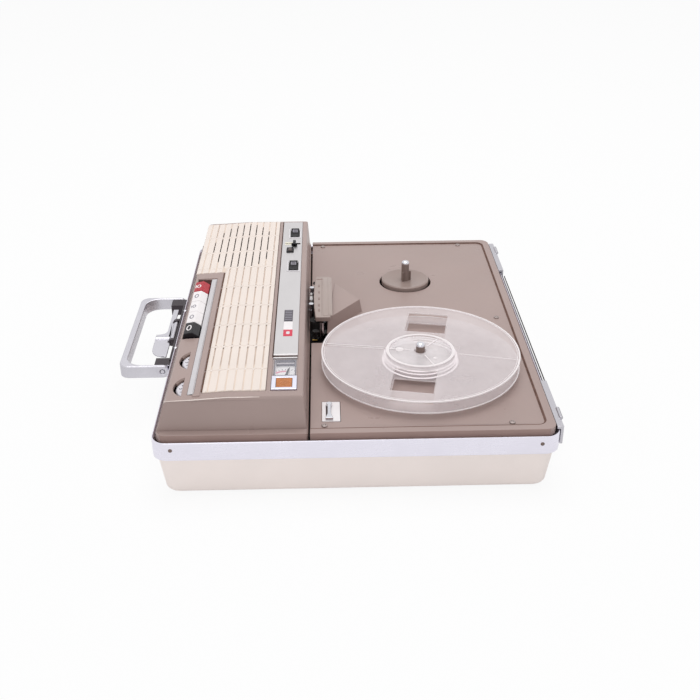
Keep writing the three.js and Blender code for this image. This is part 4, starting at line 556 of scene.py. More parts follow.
# The take-up reel: two clear polystyrene mouldings welded at the hub. Each flange has two rounded windows, and a
# slit runs from the upper flange's rim to the hub to catch the tape's end. The plastic has gone slightly milky.
REEL_TOP = 76.35
HUB_RADIUS = 31.0
REEL_AXIS = (TAKEUP_X, SPINDLE_Y)


def clear_plastic(name, colour, cloud, edge_cloud, rough, mottle=0.0, painted_glow=0.0):
    """Clear plastic that has gone milky: each surface hides the share `cloud` of what is behind it face on, and up
    to the share `edge_cloud` where it is seen edge on. `mottle` varies that share over soft patches. `painted_glow`
    is a painted glow: light that the surface gives off itself, brightening it as if light ran inside the sheet."""
    material, tree, shader = blank_finish(name)
    place = tree.nodes.new("ShaderNodeTexCoord").outputs["Object"]
    facing = wired(tree, "LayerWeight", {"Blend": 0.35}, "Facing")
    patches = ranged(tree, noise(tree, place, 30.0, 4.0, 0.5), 1 - mottle, 1 + mottle)
    hidden = ranged(tree, facing, cloud, edge_cloud, 0, 1)
    share = wired(tree, "Math", {0: hidden, 1: patches}, operation="MULTIPLY")
    feed(tree, shader, {"Alpha": share, "Base Color": colour_of(*colour), "Roughness": rough,
                        "Emission Color": colour_of(*colour), "Emission Strength": painted_glow})
    return material


milky = clear_plastic("milky_polystyrene", (238, 229, 231), 0.16, 0.55, 0.3, mottle=0.12)
# The edge and hub plastics glow faintly: painted light that brightens the reel's rims, edges, lines and hub.
edge_painted_glow = clear_plastic("polystyrene_edge_painted_glow", (252, 246, 247), 0.62, 0.9, 0.15, painted_glow=0.03)
hub_painted_glow = clear_plastic("polystyrene_hub_painted_glow", (252, 246, 248), 0.2, 0.5, 0.06, mottle=0.4, painted_glow=0.05)
hub_low = (TAKEUP_X - HUB_RADIUS - 0.5, SPINDLE_Y - HUB_RADIUS - 0.5, 60)
hub_high = (TAKEUP_X + HUB_RADIUS + 0.5, SPINDLE_Y + HUB_RADIUS + 0.5, REEL_TOP + 0.3)
for half in ("upper", "lower"):
    flange = softened(f"reel_{half}_moulding", f"reel_{half}_half", 0.25, milky)
    refinish(flange, edge_painted_glow, walls=True)
    refinish(flange, hub_painted_glow, hub_low, hub_high, walls=True)

# A low bead runs round each flange's rim and round the hub, and the hub's wall steps in on its way down. Beads and
# steps are made in the glowing plastics, so their bright lines are painted light.


def beads(*rings):
    """Low rounded rings about the reel's axis, each given by its radius, half width and height."""
    return [turned_points([(radius - wide, z - 0.3), (radius + wide, z - 0.3), (radius + wide, z + 0.15),
                           (radius, z + 0.35), (radius - wide, z + 0.15), (radius - wide, z - 0.3)], REEL_AXIS, 96)
            for radius, wide, z in rings]


laid("reel_beads", edge_painted_glow, "reel", "clear_plastic",
     *beads((HUB_RADIUS - 1.5, 1.3, REEL_TOP), (86.2, 0.25, REEL_TOP - 0.15), (88.0, 0.75, REEL_TOP - 0.2),
            (88.2, 0.5, 65.5)))
# The steps glow most strongly: painted bright arcs seen through the windows.
step_painted_glow = clear_plastic("polystyrene_step_painted_glow", (255, 250, 252), 0.8, 0.95, 0.1, painted_glow=0.22)
laid("reel_hub_steps", step_painted_glow, "reel", "clear_plastic",
     *beads((HUB_RADIUS + 0.9, 0.8, 72.6), (HUB_RADIUS + 1.6, 0.7, 70.0), (HUB_RADIUS + 2.4, 1.0, 66.6)))

# A clear web with three low ribs closes the hub just under its top. A fine mould line crosses the upper flange,
# and opposite it a lip stands along each side of the slit.
web_profile = [(5.4, 74.9), (28.2, 74.9), (28.2, 75.5), (24.0, 75.7), (10.4, 75.7), (9.8, 76.0), (5.4, 76.0),
               (5.4, 74.9)]
laid("reel_hub_web", hub_painted_glow, "reel", "clear_plastic", turned_points(web_profile, REEL_AXIS, 96))
MOULD_LINE_TURN = math.radians(76.0)
SLIT_TURN = math.radians(-99.0)
SLIT_LIP_SHIFT = 1.35
LINE_LOW, LINE_HIGH = REEL_TOP - 0.05, REEL_TOP + 0.2
WEB_RIB_ANGLES = (20.0, 140.0, 260.0)


def oblong(left, right, low, high):
    """The four corners of a rectangle."""
    return np.array([(left, low), (right, low), (right, high), (left, high)])


lines = [upright(oblong(34.0, 86.0, LINE_LOW, LINE_HIGH), 0.3, REEL_AXIS, MOULD_LINE_TURN)]
for shift in (SLIT_LIP_SHIFT, -SLIT_LIP_SHIFT):
    foot = (TAKEUP_X - shift * math.sin(SLIT_TURN), SPINDLE_Y + shift * math.cos(SLIT_TURN))
    lines.append(upright(oblong(33.0, 86.5, LINE_LOW, LINE_HIGH), 0.35, foot, SLIT_TURN))
lines += [upright(oblong(9.5, 28.0, 75.6, 76.1), 0.5, REEL_AXIS, turn) for turn in np.radians(WEB_RIB_ANGLES)]
laid("reel_lines", edge_painted_glow, "reel", "clear_plastic", *lines)

# Small round glints of the glowing edge plastic stand on the web and on the hub's wall: painted highlights.
glint_spots = ((-3.0, -18.5, 3.6), (14.0, 12.0, 1.8), (-14.0, 9.0, 1.5), (26.2, -12.5, 1.9), (26.0, 13.0, 1.9),
        (28.5, 0.5, 1.3))
laid("reel_hub_painted_glints", edge_painted_glow, "reel", "clear_plastic",
     *[turned_points([(0, 75.4), (radius, 75.4), (radius, 75.9), (radius * 0.8, 76.2), (radius * 0.55, 75.8),
                      (0, 75.7)], (TAKEUP_X + x, SPINDLE_Y + y), 24) for x, y, radius in glint_spots])

# The console cover: the tall taupe moulding over the front third of the case. It frames the grille, the control
# strip, the keys and the two wheels, and a thin lip narrows its seam with the deck plate.
LIP_HALF_X = 196.5
LIP_Y = -18.35
console = softened("console_moulding", "console_cover", 0.45, taupe_plastic)
# The console's near end wall and the lip in its seam take the darker copy as painted shade.
refinish(console, taupe_painted_shade, low=(197, -150, 40), high=(200, 0, 61), facing=(1, 0, 0))
laid("console_lip", taupe_painted_shade, "case", "taupe_plastic",
     upright(oblong(-LIP_HALF_X, LIP_HALF_X, 50.0, 59.6), 0.6, (0, LIP_Y)))

# A black cord of painted shade lies in the groove between the covers and the band.
cord_painted_shade = moulded("black_painted_shade", (48, 41, 43), rough=0.9, drift=0.2, patch=5.0, gloss=0.1)
laid("groove_painted_shade_cord", cord_painted_shade, "case", "black_rubber",
     around_case(np.array([2.45, 3.75, 3.75, 2.45, 2.45]), [53.4, 53.4, 54.5, 54.5, 53.4]))

# A pale glossy line along the top edge of the console's near end is a painted highlight. FALL_Y and FALL_Z are
# places and heights of the console's outer skin, from its front edge up to its level top.
FALL_Y = [-134.45, -129.45, -125.45, -121.45, -116.45, -108.45, -103.45, -98.45, -88.45, -82.45]
FALL_Z = [87.5, 87.679, 87.933, 88.094, 88.296, 88.718, 89.073, 89.428, 90.1, 90.5]
HIGHLIGHT_X = 188.2
HIGHLIGHT_WIDTH = 0.48
HIGHLIGHT_SINK = 0.25


def console_top(y):
    """The height of the console's outer skin at y, read along straight lines between its known places."""
    return np.interp(y, FALL_Y, FALL_Z)


highlight_y = np.linspace(-133.0, -56.0, 24)
around = np.linspace(0, 2 * np.pi, 8, endpoint=False)
reach = HIGHLIGHT_WIDTH * np.sin(np.linspace(0.15, np.pi - 0.15, len(highlight_y)))[:, None] ** 0.35
highlight_line = np.stack([HIGHLIGHT_X + reach * np.cos(around), np.broadcast_to(highlight_y[:, None], (len(highlight_y), 8)),
                   console_top(highlight_y)[:, None] - HIGHLIGHT_SINK + reach * np.sin(around)], -1)
edge_highlight_finish = moulded("painted_highlight_edge", (226, 212, 205), rough=0.2, drift=0.08, patch=12.0, gloss=0.6)
laid("painted_highlight_edge", edge_highlight_finish, "case", "taupe_plastic", capped(highlight_line))

# The grille: one cream moulding of slats between cross ribs. Over the loudspeaker the grooves between the slats
# are open slots, and elsewhere they are blind. Each slat is a low louvre that slopes towards the console's front.
GRILLE_RIB_XS = (-188.0, -147.2, -106.4, -65.6, -19.2, 23.2, 62.4, 103.5, 144.3, 179.0)
GRILLE_REAR, GRILLE_FRONT, GRILLE_DEEP_FRONT, GRILLE_DEEP_RIGHT = -51.75, -102.85, -132.25, -56.0
GRILLE_PROUD = 0.5
SLAT_PITCH = 7.1
SLAT_MARGIN = 3.4
SLOT = 1.8
LEAST_SLAT = 1.0
SLAT_OVER = 0.42
SLAT_END = 0.25
SLAT_RISE = 0.55
SLAT_LEAN = 0.3
SLAT_FOOT = 0.4
NUB_HALF = 1.5
NUB_RISE = 0.12
grille_plastic = moulded("grille_moulding", (238, 226, 218), rough=0.5, drift=0.02, patch=60.0, gloss=0.25)
# The panel under the slats is a darker tan: painted shade for the grooves between them.
grille_groove_shade = moulded("grille_groove_painted_shade", (229, 212, 198), rough=0.6, drift=0.04, patch=30.0, gloss=0.2)
grille_panel = softened("grille_panel", "speaker_grille", 0.2, grille_groove_shade)
refinish(grille_panel, grille_plastic, walls=True)


def slat_grid(x0, x1, y0, y1):
    """One slat: a low block from x0 to x1 and y0 to y1 that stands SLAT_RISE over the panel at its rear edge and
    SLAT_LEAN less at its front edge, its upper edges taken in."""
    y = np.array([y0, y0, y0 + 0.35, (y0 + y1) / 2, y1 - 0.3, y1, y1])
    front_rise = SLAT_RISE - SLAT_LEAN
    rise = np.array([-SLAT_FOOT, front_rise - 0.3, front_rise, SLAT_RISE - SLAT_LEAN / 2, SLAT_RISE,
                     SLAT_RISE - 0.25, -SLAT_FOOT])
    skin = console_top(y) + GRILLE_PROUD
    low, full = skin - SLAT_FOOT, skin + rise
    taken_in = np.maximum(full - 0.25, low)
    rows = ((x0, low), (x0, taken_in), (x0 + 0.3, full), (x1 - 0.3, full), (x1, taken_in), (x1, low))
    return capped(np.stack([np.stack([np.full_like(y, x), y, z], -1) for x, z in rows]))


slats, nubs = [], []
slot_rears = np.arange(GRILLE_REAR - SLAT_MARGIN, GRILLE_DEEP_FRONT, -SLAT_PITCH)
for left, right in zip(GRILLE_RIB_XS[:-1], GRILLE_RIB_XS[1:]):
    front = GRILLE_DEEP_FRONT if right < GRILLE_DEEP_RIGHT else GRILLE_FRONT
    rears = slot_rears[slot_rears - SLOT > front + LEAST_SLAT]
    spans = [(GRILLE_REAR, GRILLE_REAR - SLAT_MARGIN)]
    spans += [(rear - SLOT, max(rear - SLAT_PITCH, front)) for rear in rears]
    if spans[-1][1] - front < SLOT + LEAST_SLAT:
        spans[-1] = (spans[-1][0], front)
    slats += [slat_grid(left + SLAT_END, right - SLAT_END, max(low - SLAT_OVER, front),
                        min(high + SLAT_OVER, GRILLE_REAR)) for high, low in spans]
    if left > GRILLE_RIB_XS[0]:
        nubs += [slat_grid(left - NUB_HALF, left + NUB_HALF, rear - SLOT - 0.4, rear + 0.5) + (0, 0, NUB_RISE)
                 for rear in rears]
# Left of the keys' bay a short column of slats goes on to the grille's deep front edge.
slats += [slat_grid(GRILLE_RIB_XS[3] + SLAT_END, GRILLE_DEEP_RIGHT - 0.2,
                    max(rear - SLAT_PITCH - SLAT_OVER, GRILLE_DEEP_FRONT), rear - SLOT + SLAT_OVER)
          for rear in slot_rears[slot_rears < GRILLE_FRONT + SLOT]]
laid("grille_slats", grille_plastic, "case", "grille_cream", *slats, *nubs)

# A dark line of shadow and dirt lies along the grille's edge beside the keys.
grille_seam = moulded("grille_seam", (104, 76, 64), rough=0.8, drift=0.2, patch=6.0, gloss=0.1)
seam_z = console_top(GRILLE_FRONT) + 0.25
laid("grille_seam_line", grille_seam, "case", "taupe_plastic",
     *[upright(oblong(max(left, GRILLE_DEEP_RIGHT) + 1.6, right - 1.6, seam_z, seam_z + 0.3), 0.55,
               (0, GRILLE_FRONT - 0.6))
       for left, right in zip(GRILLE_RIB_XS[3:-1], GRILLE_RIB_XS[4:])])

# The control strip: a brushed aluminium plate let into the console, with two rocker switches, a slide switch and
# a push button, a small printed tri-colour tab, and the level meter and the lamp at its near end.
PLATE_TOP = 90.6
plate_metal = brushed("control_plate_metal", (206, 203, 204), rough=0.4, along=(0.02, 1.0, 1.0), streak=0.02,
                      dull=0.06)
softened("control_strip", "control_plate", 0.2, plate_metal)


def pad(centre, half, low, high, corner, edge=0.3):
    """A flat block: a rectangle in plan `half` wide each way with rounded corners, upright from `low` to `high`,
    its lower and upper edges quarter rounds of radius `edge`."""
    bend = np.linspace(0, np.pi / 2, 4)
    inset = np.concatenate([edge * (1 - np.sin(bend)), edge * (1 - np.cos(bend))])
    height = np.concatenate([low + edge * (1 - np.cos(bend)), high - edge * (1 - np.sin(bend))])
    plan = rounded_line(half[0] - inset, half[1] - inset, np.maximum(corner - inset, 0.05), 4) + centre
    return capped(raised(plan, height))


# The rockers: black, with a pale inset of two dark bars on the raised half. A pale collar stands round each.
ROCKER_Y = -34.45
ROCKER_SLOPE = (-0.954, 0.0, 0.300)
ROCKER_FACING = np.array([0.300, 0.0, 0.954])
pale_plastic = moulded("pale_moulding", (226, 222, 226), rough=0.4, drift=0.03, patch=12.0)
white_plastic = moulded("white_moulding", (243, 238, 239), rough=0.35, drift=0.03, patch=12.0)
ivory_plastic = moulded("ivory_moulding", (238, 232, 214), rough=0.45, drift=0.03, patch=8.0)
grey_ink = moulded("grey_ink", (150, 146, 156), rough=0.5, drift=0.05, patch=4.0)
for body, node, x in (("power_switch", "rocker_power", -153.5), ("monitor_switch", "rocker_monitor", -66.0)):
    softened(f"{body}_rocker", node, 0.5, dark_plastic, 3)
    foot = np.array([x + 0.88, ROCKER_Y, 91.34])
    laid(f"{body}_inset", grey_ink, body, "grey_plastic",
         slab(oblong(-2.7, 2.7, 2.0, 6.6), 0.12, (0, 1, 0), ROCKER_SLOPE, ROCKER_FACING, foot))
    laid(f"{body}_bars", dark_plastic, body, "black_plastic",
         *[slab(oblong(-1.9, 1.9, low, low + 0.7), 0.12, (0, 1, 0), ROCKER_SLOPE, ROCKER_FACING,
                foot + ROCKER_FACING * 0.1) for low in (2.9, 4.9)])
    outer, inner = [rounded_line(*sizes, 4) + (x, ROCKER_Y) for sizes in ((12.0, 6.6, 1.0), (10.9, 5.5, 0.6))]
    laid(f"{body}_collar", pale_plastic, "case", "white_plastic",
         raised(np.stack([outer, outer, inner, inner, outer]), [90.5, 91.0, 91.1, 90.5, 90.5]))

# The slide switch: a black T of plastic that runs in a slot between two ivory rails.
SLIDER_Y = -34.65
laid("slider_knob", dark_plastic, "slide_switch", "black_plastic",
     pad((-122.9, SLIDER_Y), (5.4, 1.6), 91.0, 94.0, 0.8, 0.6),
     pad((-119.0, SLIDER_Y), (1.5, 3.1), 91.0, 93.9, 0.8, 0.6),
     pad((-126.0, SLIDER_Y), (0.75, 1.6), 87.0, 92.0, 0.3, 0.2), replaces="slide_knob")
laid("slider_strip", ivory_plastic, "case", "white_plastic",
     *[pad((x, -40.6), (1.2, 4.2), PLATE_TOP - 0.6, PLATE_TOP + 0.25, 0.4, 0.15) for x in (-128.1, -123.9)])

# The push button: a black skirt with a brown pad on its top, which is a painted reflection.
BUTTON_Y = -38.95
button_painted_reflection = moulded("button_painted_reflection", (78, 60, 57), rough=0.35, drift=0.08, patch=6.0)
laid("button_skirt", dark_plastic, "button", "black_plastic",
     pad((-108.0, BUTTON_Y), (6.0, 3.5), 83.2, 91.7, 0.7, 0.4), replaces="push_button")
laid("button_face_painted_reflection", button_painted_reflection, "button", "black_plastic",
     pad((-107.6, BUTTON_Y), (3.2, 1.8), 91.2, 92.0, 0.6))

# The tab is printed in three plain blocks: dark grey with lighter bars, white, and red with a pale mark.
TAB_LOW = 90.4
tab_ink = moulded("tab_dark_ink", (84, 80, 88), rough=0.5, drift=0.1, patch=3.0)
tab_red = moulded("tab_red_ink", (214, 62, 84), rough=0.45, drift=0.06, patch=3.0)
laid("tab_dark", tab_ink, "case", "plate_aluminium", pad((45.6, -36.5), (11.8, 4.0), TAB_LOW, 90.75, 0.3, 0.08))
laid("tab_bars", grey_ink, "case", "plate_aluminium",
     *[pad((x, -36.5), (0.55, 3.2), PLATE_TOP, 90.82, 0.2, 0.05) for x in (36.2, 39.6, 43.0, 46.4, 49.8, 53.2)])
laid("tab_white", white_plastic, "case", "white_plastic",
     pad((65.4, -36.4), (8.0, 4.0), TAB_LOW, 90.75, 0.3, 0.08))
laid("tab_red", tab_red, "case", "red_plastic", pad((79.6, -36.3), (6.2, 4.1), TAB_LOW, 90.77, 0.3, 0.08))
laid("tab_mark", pale_plastic, "case", "white_plastic",
     pad((79.6, -36.3), (2.6, 1.6), PLATE_TOP, 90.85, 1.4, 0.05))

# The plate's near end is folded up. Its lip and the window's edge are white strips of painted highlight, and dark
# strips of painted shade lie in the gap between them and along the plate's front edge.
PLATE_MIDDLE_Y = -37.1
laid("plate_lip_painted_highlight", white_plastic, "case", "plate_aluminium",
     pad((119.6, PLATE_MIDDLE_Y), (1.1, 10.3), 90.4, 90.95, 0.3, 0.2),
     pad((124.9, PLATE_MIDDLE_Y), (0.7, 10.3), 90.3, 90.95, 0.3, 0.2))
seam_painted_shade = moulded("strip_seam_painted_shade", (74, 54, 48), rough=0.8, drift=0.2, patch=6.0, gloss=0.1)
laid("strip_seam_painted_shade", seam_painted_shade, "case", "taupe_plastic",
     pad((122.5, PLATE_MIDDLE_Y), (1.6, 10.3), 90.0, 90.55, 0.2, 0.05),
     pad((-32.0, -47.95), (156.2, 0.5), 90.2, 90.72, 0.2, 0.05))

# The level meter: a window over a white scale card in a grey well, with a red arc and a dark needle.
METER_AXIS = (148.4, PLATE_MIDDLE_Y)
CARD_TOP = 83.0
NEEDLE_TURN = math.radians(168)
meter_clear = clear_plastic("meter_glazing", (236, 236, 242), 0.03, 0.22, 0.05)
softened("meter_glazing", "meter_window", 0.2, meter_clear)
well_grey = moulded("meter_well", (118, 115, 126), rough=0.5, drift=0.05, patch=10.0)
card_white = moulded("meter_card", (244, 242, 243), rough=0.6, drift=0.02, patch=10.0)
meter = softened("meter_well", "meter_body", 0.15, well_grey)
refinish(meter, card_white, low=(126, -46, 82), high=(152, -28, 84), facing=(0, 0, 1))
refinish(meter, card_white, low=(137, -47, 82), high=(152, -27, 90), walls=True)
scale_pink = moulded("scale_pink", (226, 150, 172), rough=0.5, drift=0.05, patch=4.0)
turn = np.radians(np.linspace(178, 226, 13)[:, None])
ray = np.concatenate([np.cos(turn), np.sin(turn)], -1)
arc_line = np.clip(np.concatenate([12.0 * ray, 14.2 * ray[::-1]]) + METER_AXIS, (127, -45), (151, -29.2))
arc_foot = np.broadcast_to(arc_line.mean(0), arc_line.shape)
laid("meter_arc", scale_pink, "case", "red_plastic",
     raised(np.stack([arc_foot, arc_line, arc_line, (arc_line + arc_line[::-1]) / 2]),
            [CARD_TOP - 0.1, CARD_TOP - 0.1, CARD_TOP + 0.12, CARD_TOP + 0.12]))
laid("meter_ticks", tab_ink, "case", "black_plastic",
     *[upright(oblong(15.0, 17.0, CARD_TOP, CARD_TOP + 0.12), 0.25, METER_AXIS, turn)
       for turn in np.radians(np.linspace(150, 210, 7))])
laid("meter_stripe", pale_plastic, "case", "grey_plastic",
     pad((126.6, PLATE_MIDDLE_Y), (0.12, 7.6), 85.4, 86.4, 0.05, 0.05))
needle_plastic = moulded("needle_black", (60, 56, 62), rough=0.5, drift=0.1, patch=4.0)
dress(needle_plastic, "meter_needle")
laid("needle_blade", needle_plastic, "needle", "black_plastic",
     upright(oblong(-1.8, 14.5, 84.7, 85.2), 0.8, METER_AXIS, NEEDLE_TURN))

# The lamp: a bright frame round an amber lens with a coarse grain.
lamp_metal = brushed("lamp_frame", (226, 226, 240), rough=0.35, streak=0.02, dull=0.04)
softened("lamp_frame", "lamp_bezel", 0.35, lamp_metal, 3)
amber = moulded("amber_lens", (186, 110, 48), rough=0.25, drift=0.12, patch=5.0, grain=1.2, relief=0.15,
                gloss=0.5)
softened("amber_lens", "lamp_lens", 0.3, amber)

# The five keys: hollow moulded caps on a common shaft, each with a ridge along its top. Their marks are printed on
# the slope in front of the ridge, whose front and rear edges are at SLOPE_Y and SLOPE_Z.
KEY_LEFT = -29.0
KEY_PITCH = 22.0
SLOPE_Y = (-129.45, -121.85)
SLOPE_Z = (91.5, 93.0)
MARK_Y = -125.35
MARK_Z = 92.31
uphill = np.array([0, SLOPE_Y[1] - SLOPE_Y[0], SLOPE_Z[1] - SLOPE_Z[0]])
uphill /= np.linalg.norm(uphill)
off_slope = np.array([0, -uphill[2], uphill[1]])


def mark_ring(centre, outer, inner):
    """A flat printed ring on the keys' slope: two ellipses of half widths `outer` and `inner`, 0.1 mm high."""
    turn = np.linspace(0, 2 * np.pi, 28, endpoint=False)
    outside, inside = [np.outer(np.cos(turn) * wide[0], (1, 0, 0)) + np.outer(np.sin(turn) * wide[1], uphill)
                       + centre for wide in (outer, inner)]
    rise = off_slope * 0.1
    return np.stack([outside - rise, outside + rise, inside + rise, inside - rise, outside - rise])


def mark_bar(centre, half_x, half_y):
    """A flat printed bar on the keys' slope."""
    return slab(oblong(-half_x, half_x, -half_y, half_y), 0.25, (1, 0, 0), uphill, off_slope,
                centre - off_slope * 0.15)


red_plastic = moulded("red_moulding", (176, 10, 38), rough=0.3, drift=0.05, patch=10.0, gloss=0.3)
black_key = moulded("black_key_moulding", (26, 23, 28), rough=0.32, drift=0.1, patch=10.0, gloss=0.22)
key_ink = moulded("key_ink", (146, 142, 152), rough=0.5, drift=0.05, patch=4.0)
# Each row: key, plastic, slot, ink, the ring's outer and inner half widths, and the bar's distance and half widths.
keys = (("record", red_plastic, "red_plastic", white_plastic, (3.6, 2.2), (2.4, 1.2), (3.0, 3.4, 0.5)),
        ("rewind", white_plastic, "white_plastic", key_ink, (4.0, 2.1), (2.7, 1.1), None),
        ("forward", white_plastic, "white_plastic", key_ink, (3.0, 1.8), (1.9, 0.9), (2.6, 2.4, 0.35)),
        ("play", white_plastic, "white_plastic", key_ink, (4.0, 2.1), (2.7, 1.1), None),
        ("stop", black_key, "black_plastic", white_plastic, (5.2, 2.4), (3.8, 1.4), None))
for count, (key, plastic, slot, ink, outer, inner, bar) in enumerate(keys):
    softened(f"{key}_key_cap", f"key_{key}", 0.7, plastic, 3)
    middle = np.array([KEY_LEFT + KEY_PITCH * (count + 0.5), MARK_Y, MARK_Z])
    marks = [mark_ring(middle, outer, inner)]
    if bar:
        marks.append(mark_bar(middle - uphill * bar[0], *bar[1:]))
    laid(f"{key}_key_mark", ink, f"{key}_key", slot, *marks)

# A light inlay strip lies behind the keys in the bay's taupe frame, with a darker line along it. The bay's far
# corner, behind the red key, is in deep shade: a dark pad there is painted shade.
INLAY_LINE_Y = -110.4
BAY_SHADE_Y = -121.5
grey_plastic = moulded("grey_moulding", (206, 203, 206), rough=0.38, drift=0.04, patch=12.0)
softened("key_inlay", "key_trim_strip", 0.3, grey_plastic)
inlay_lip = moulded("inlay_lip", (176, 170, 172), rough=0.4, drift=0.04, patch=12.0)
line_z = console_top(INLAY_LINE_Y) + 0.18
laid("inlay_line", inlay_lip, "case", "grey_plastic",
     upright(oblong(-40.0, 179.0, line_z, line_z + 0.3), 0.5, (0, INLAY_LINE_Y)))
bay_painted_shade = moulded("bay_painted_shade", (74, 48, 44), rough=0.9, drift=0.15, patch=5.0, gloss=0.1)
shade_z = console_top(BAY_SHADE_Y)
laid("bay_painted_shade", bay_painted_shade, "case", "black_rubber",
     pad((-35.6, BAY_SHADE_Y), (5.4, 7.0), shade_z - 0.4, shade_z + 0.3, 0.6, 0.15))

# The wheels: pale grey knurled discs under two openings, numbered round the top. A sloping finger scoop fills the
# far side of each opening, coloured a darker taupe as painted shade.
WHEEL_Y = -109.75
WHEEL_RADIUS = 15.7
WHEEL_TOP = 86.1
WHEEL_BOTTOM = 81.1
KNURLS = 40
KNURL_DEPTH = 0.35
KNURLED_OVER = 14.8
SCOOP_SWEEP = (216, 250)
NUMBER_SWEEP = (150, 390)
NUMBERS = 11
wheel_plastic = moulded("wheel_moulding", (222, 219, 226), rough=0.4, drift=0.04, patch=10.0)
scoop_painted_shade = moulded("scoop_painted_shade_moulding", (134, 113, 106), rough=0.45, drift=0.06, patch=10.0)
knurl = KNURL_DEPTH * np.cos(np.linspace(0, 2 * np.pi, 240, endpoint=False) * KNURLS)
wheel_profile = [(3.3, WHEEL_BOTTOM), (14.9, WHEEL_BOTTOM), (WHEEL_RADIUS, 81.9), (WHEEL_RADIUS, 85.3),
                 (15.2, 85.9), (14.7, WHEEL_TOP), (9.4, WHEEL_TOP), (8.8, 85.7), (3.3, 85.7),
                 (3.3, WHEEL_BOTTOM)]
scoop_profile = ((16.3, 85.2), (18.1, 85.2), (18.1, 87.7), (16.6, 87.2), (16.3, 86.6), (16.3, 85.2))


def numerals(centre, radius, size, height, turns):
    """The numbers from 0 up as flat type round a circle, one at each turn, their feet towards the middle."""
    points, faces, first = [], [], 0
    for number, turn in enumerate(turns):
        type_line = bpy.data.curves.new("numeral", "FONT")
        type_line.body = str(number)
        type_line.size = size
        type_line.extrude = 0.06
        type_line.align_x = "CENTER"
        type_line.resolution_u = 3
        holder = bpy.data.objects.new("numeral", type_line)
        bpy.context.scene.collection.objects.link(holder)
        bpy.context.view_layer.update()
        flat = bpy.data.meshes.new_from_object(holder.evaluated_get(bpy.context.evaluated_depsgraph_get()))
        spots = np.empty((len(flat.vertices), 3))
        flat.vertices.foreach_get("co", spots.ravel())
        out = np.array([math.cos(turn), math.sin(turn), 0])
        side = np.array([out[1], -out[0], 0])
        points.append(np.array([*centre, height]) + out * radius + spots @ np.array([side, out, (0, 0, 1)]))
        faces += [tuple(first + index for index in face.vertices) for face in flat.polygons]
        first += len(spots)
        bpy.data.objects.remove(holder)
        bpy.data.curves.remove(type_line)
        bpy.data.meshes.remove(flat)
    return np.concatenate(points), faces


for body, x in (("volume", 122.5), ("tone", 166.5)):
    rings = turned_points(wheel_profile, (0, 0), len(knurl))
    reach = np.hypot(rings[..., 0], rings[..., 1])
    rings[..., :2] *= (1 + np.where(reach > KNURLED_OVER, knurl / reach, 0))[..., None]
    laid(f"{body}_disc", wheel_plastic, body, "grey_plastic", rings + (x, WHEEL_Y, 0), replaces=f"{body}_wheel")
    number_turns = np.radians(np.linspace(*NUMBER_SWEEP, NUMBERS))
    points, faces = numerals((x, WHEEL_Y), 9.8, 5.0, WHEEL_TOP + 0.02, number_turns)
    figures = sheet_of(f"{body}_numbers", points, faces, dark_plastic)
    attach(figures, body)
    sweep = np.radians(np.linspace(*SCOOP_SWEEP, 13))
    ray = np.stack([np.cos(sweep), np.sin(sweep)], -1)
    scoop = np.stack([np.column_stack([(x, WHEEL_Y) + radius * ray, np.full(len(ray), z)])
                      for radius, z in scoop_profile], 1)
    laid(f"{body}_scoop", scoop_painted_shade, "case", "taupe_plastic", capped(scoop))

# The carrying handle: a flat metal strip bent to a bow with a thicker grip, which swings on two studs of the plate
# on the case's front. The lid latch folds between its arms, and the lid's hinge rail runs along the rear edge.
handle_metal = brushed("handle_metal", (206, 204, 211), rough=0.38, width=1.0, streak=0.04, dull=0.25)
softened("handle_bow", "carrying_handle", 1.0, handle_metal, 3)
latch_metal = brushed("latch_metal", (206, 204, 211), rough=0.35, dull=0.25)
softened("latch_plate", "lid_latch", 0.3, latch_metal)
plate_black = brushed("plate_dark_metal", (74, 68, 72), rough=0.4, width=1.0, dull=0.3)
bracket = softened("handle_bracket", "handle_plate", 0.4, plate_black)
refinish(bracket, handle_metal, low=(68.9, -165, 40), high=(80, -140, 60))
refinish(bracket, handle_metal, low=(-80, -165, 40), high=(-68.9, -140, 60))
rail_painted_shade = brushed("rail_painted_shade_faces", (70, 64, 70), rough=0.4, width=1.0, dull=0.3)
rail_metal = brushed("rail_metal", (196, 194, 200), dull=0.3)
rail = softened("rear_rail", "lid_hinge_rail", 0.3, rail_metal)
# The rail's rear faces take a dark copy of its metal as painted shade.
refinish(rail, rail_painted_shade, facing=(0, 1, 0))
# A thin black bead of painted shade lies where the rail meets the band, and another along the rail's outer edge.
laid("rail_painted_shade_edging", cord_painted_shade, "case", "black_rubber", pad((0.0, 189.5), (117.5, 0.75), 51.4, 53.6, 0.3),
     pad((0.0, 192.55), (117.5, 0.35), 51.6, 52.9, 0.2, 0.2))

# The speed selector: a chrome lever that points along a white inlaid plate. The dark strips along its slot and edges
# are painted shade.
softened("speed_lever_chrome", "speed_lever", 0.35, bright_metal, 3)
softened("speed_inlay", "speed_plate", 0.15, white_plastic)
slot_painted_shade = moulded("lever_slot_painted_shade", (70, 54, 54), rough=0.6, drift=0.1, patch=5.0)
laid("lever_slot_painted_shade", slot_painted_shade, "case", "black_plastic",
     pad((165.0, -2.6), (10.0, 0.7), 60.7, 61.0, 0.5, 0.05),
     pad((165.0, 8.8), (15.4, 0.25), FLOOR_Z, 60.6, 0.2, 0.05),
     pad((149.7, 1.0), (0.3, 7.8), FLOOR_Z, 60.7, 0.2, 0.05))

# The head cover: a light taupe cap that lifts off, with a raised frame, a slit at its far end and a row of small
# raised marks.
COVER_TOP = 79.1
cover_plastic = moulded("cover_moulding", (172, 156, 150), rough=0.36, drift=0.04, patch=40.0)
cover_shade = moulded("cover_shade", (150, 131, 125), rough=0.45, patch=20.0)
head_cap = softened("heads_cover", "head_cover", 0.7, cover_plastic, 3)
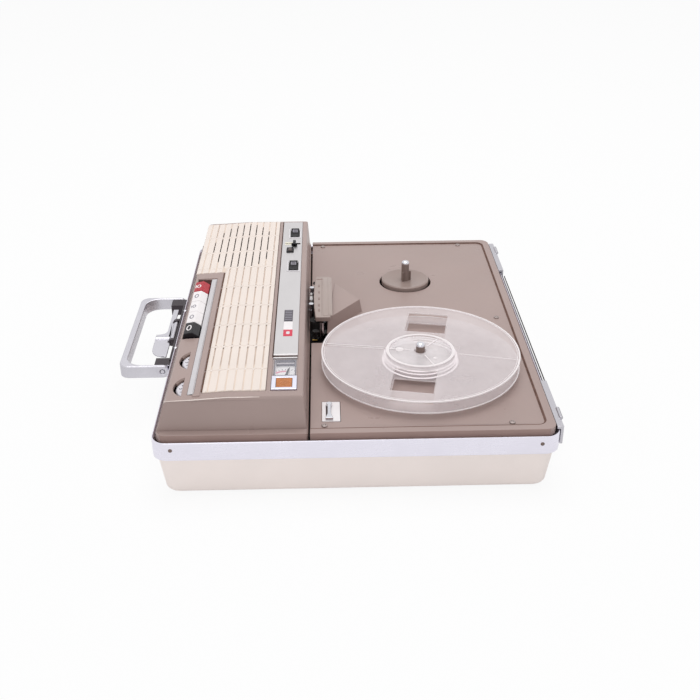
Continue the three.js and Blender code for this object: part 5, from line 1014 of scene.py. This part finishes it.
# The cap's upright walls take the darker copy as painted shade.
refinish(head_cap, cover_shade, walls=True)
laid("cover_frame", cover_plastic, "heads_lid", "cover_plastic",
     pad((-19.0, -0.4), (43.0, 4.6), COVER_TOP - 0.2, COVER_TOP + 0.35, 1.2, 0.25),
     pad((-19.0, 1.6), (41.0, 1.4), COVER_TOP + 0.1, COVER_TOP + 0.75, 0.7))
# The thin line along the frame's front is painted shade, in the same darker copy as the marks.
laid("cover_marks", cover_shade, "heads_lid", "cover_plastic",
     *[pad((x, -8.6), (2.6, 0.9), COVER_TOP - 0.2, COVER_TOP + 0.3, 0.4, 0.15)
       for x in (-42.5, -28.0, -13.5, 1.0, 12.0)],
     pad((-19.0, -5.9), (43.0, 0.22), COVER_TOP - 0.2, COVER_TOP + 0.06, 0.2, 0.05))
# The slit is a flat brown strip of painted shade.
slit_painted_shade = moulded("cover_slit_painted_shade", (128, 92, 86), rough=0.7, drift=0.1, patch=4.0)
laid("cover_slit_painted_shade", slit_painted_shade, "heads_lid", "cover_plastic",
     pad((-58.4, -4.8), (0.45, 6.2), COVER_TOP - 0.2, COVER_TOP + 0.08, 0.3, 0.05))

# The tape guides, two white felts and three brass springs stand in the dark opening beside the head cover.
guide_profile = [(0, 57.0), (1.9, 57.0), (1.9, 66.0), (2.6, 66.4), (2.6, 67.0), (1.6, 67.3), (1.6, 72.4),
                 (2.5, 72.7), (2.5, 73.3), (0, 73.5)]
felt_white = moulded("guide_white", (240, 238, 238), rough=0.6, drift=0.04, patch=4.0)
laid("tape_guides", bright_metal, "case", "bright_chrome",
     *[turned_points(guide_profile, spot, 20) for spot in ((-52.0, -16.0), (-14.5, -16.4))])
laid("guide_felts", felt_white, "case", "white_plastic", pad((-30.0, -16.4), (4.4, 1.5), 66.0, 72.0, 0.7, 0.4),
     pad((-43.0, -16.6), (2.2, 1.1), 64.0, 70.5, 0.6))
brass = brushed("brass_spring", (196, 164, 92), rough=0.35, width=0.6)
laid("brass_springs", brass, "case", "plain_steel",
     *[pad(place, half, z, z + 1.0, 0.3, 0.2)
       for place, half, z in (((3.0, -13.6), (3.2, 0.5), 63.0), ((30.5, -11.6), (2.6, 0.5), 62.2),
                              ((38.6, -12.8), (0.6, 2.2), 60.6))])
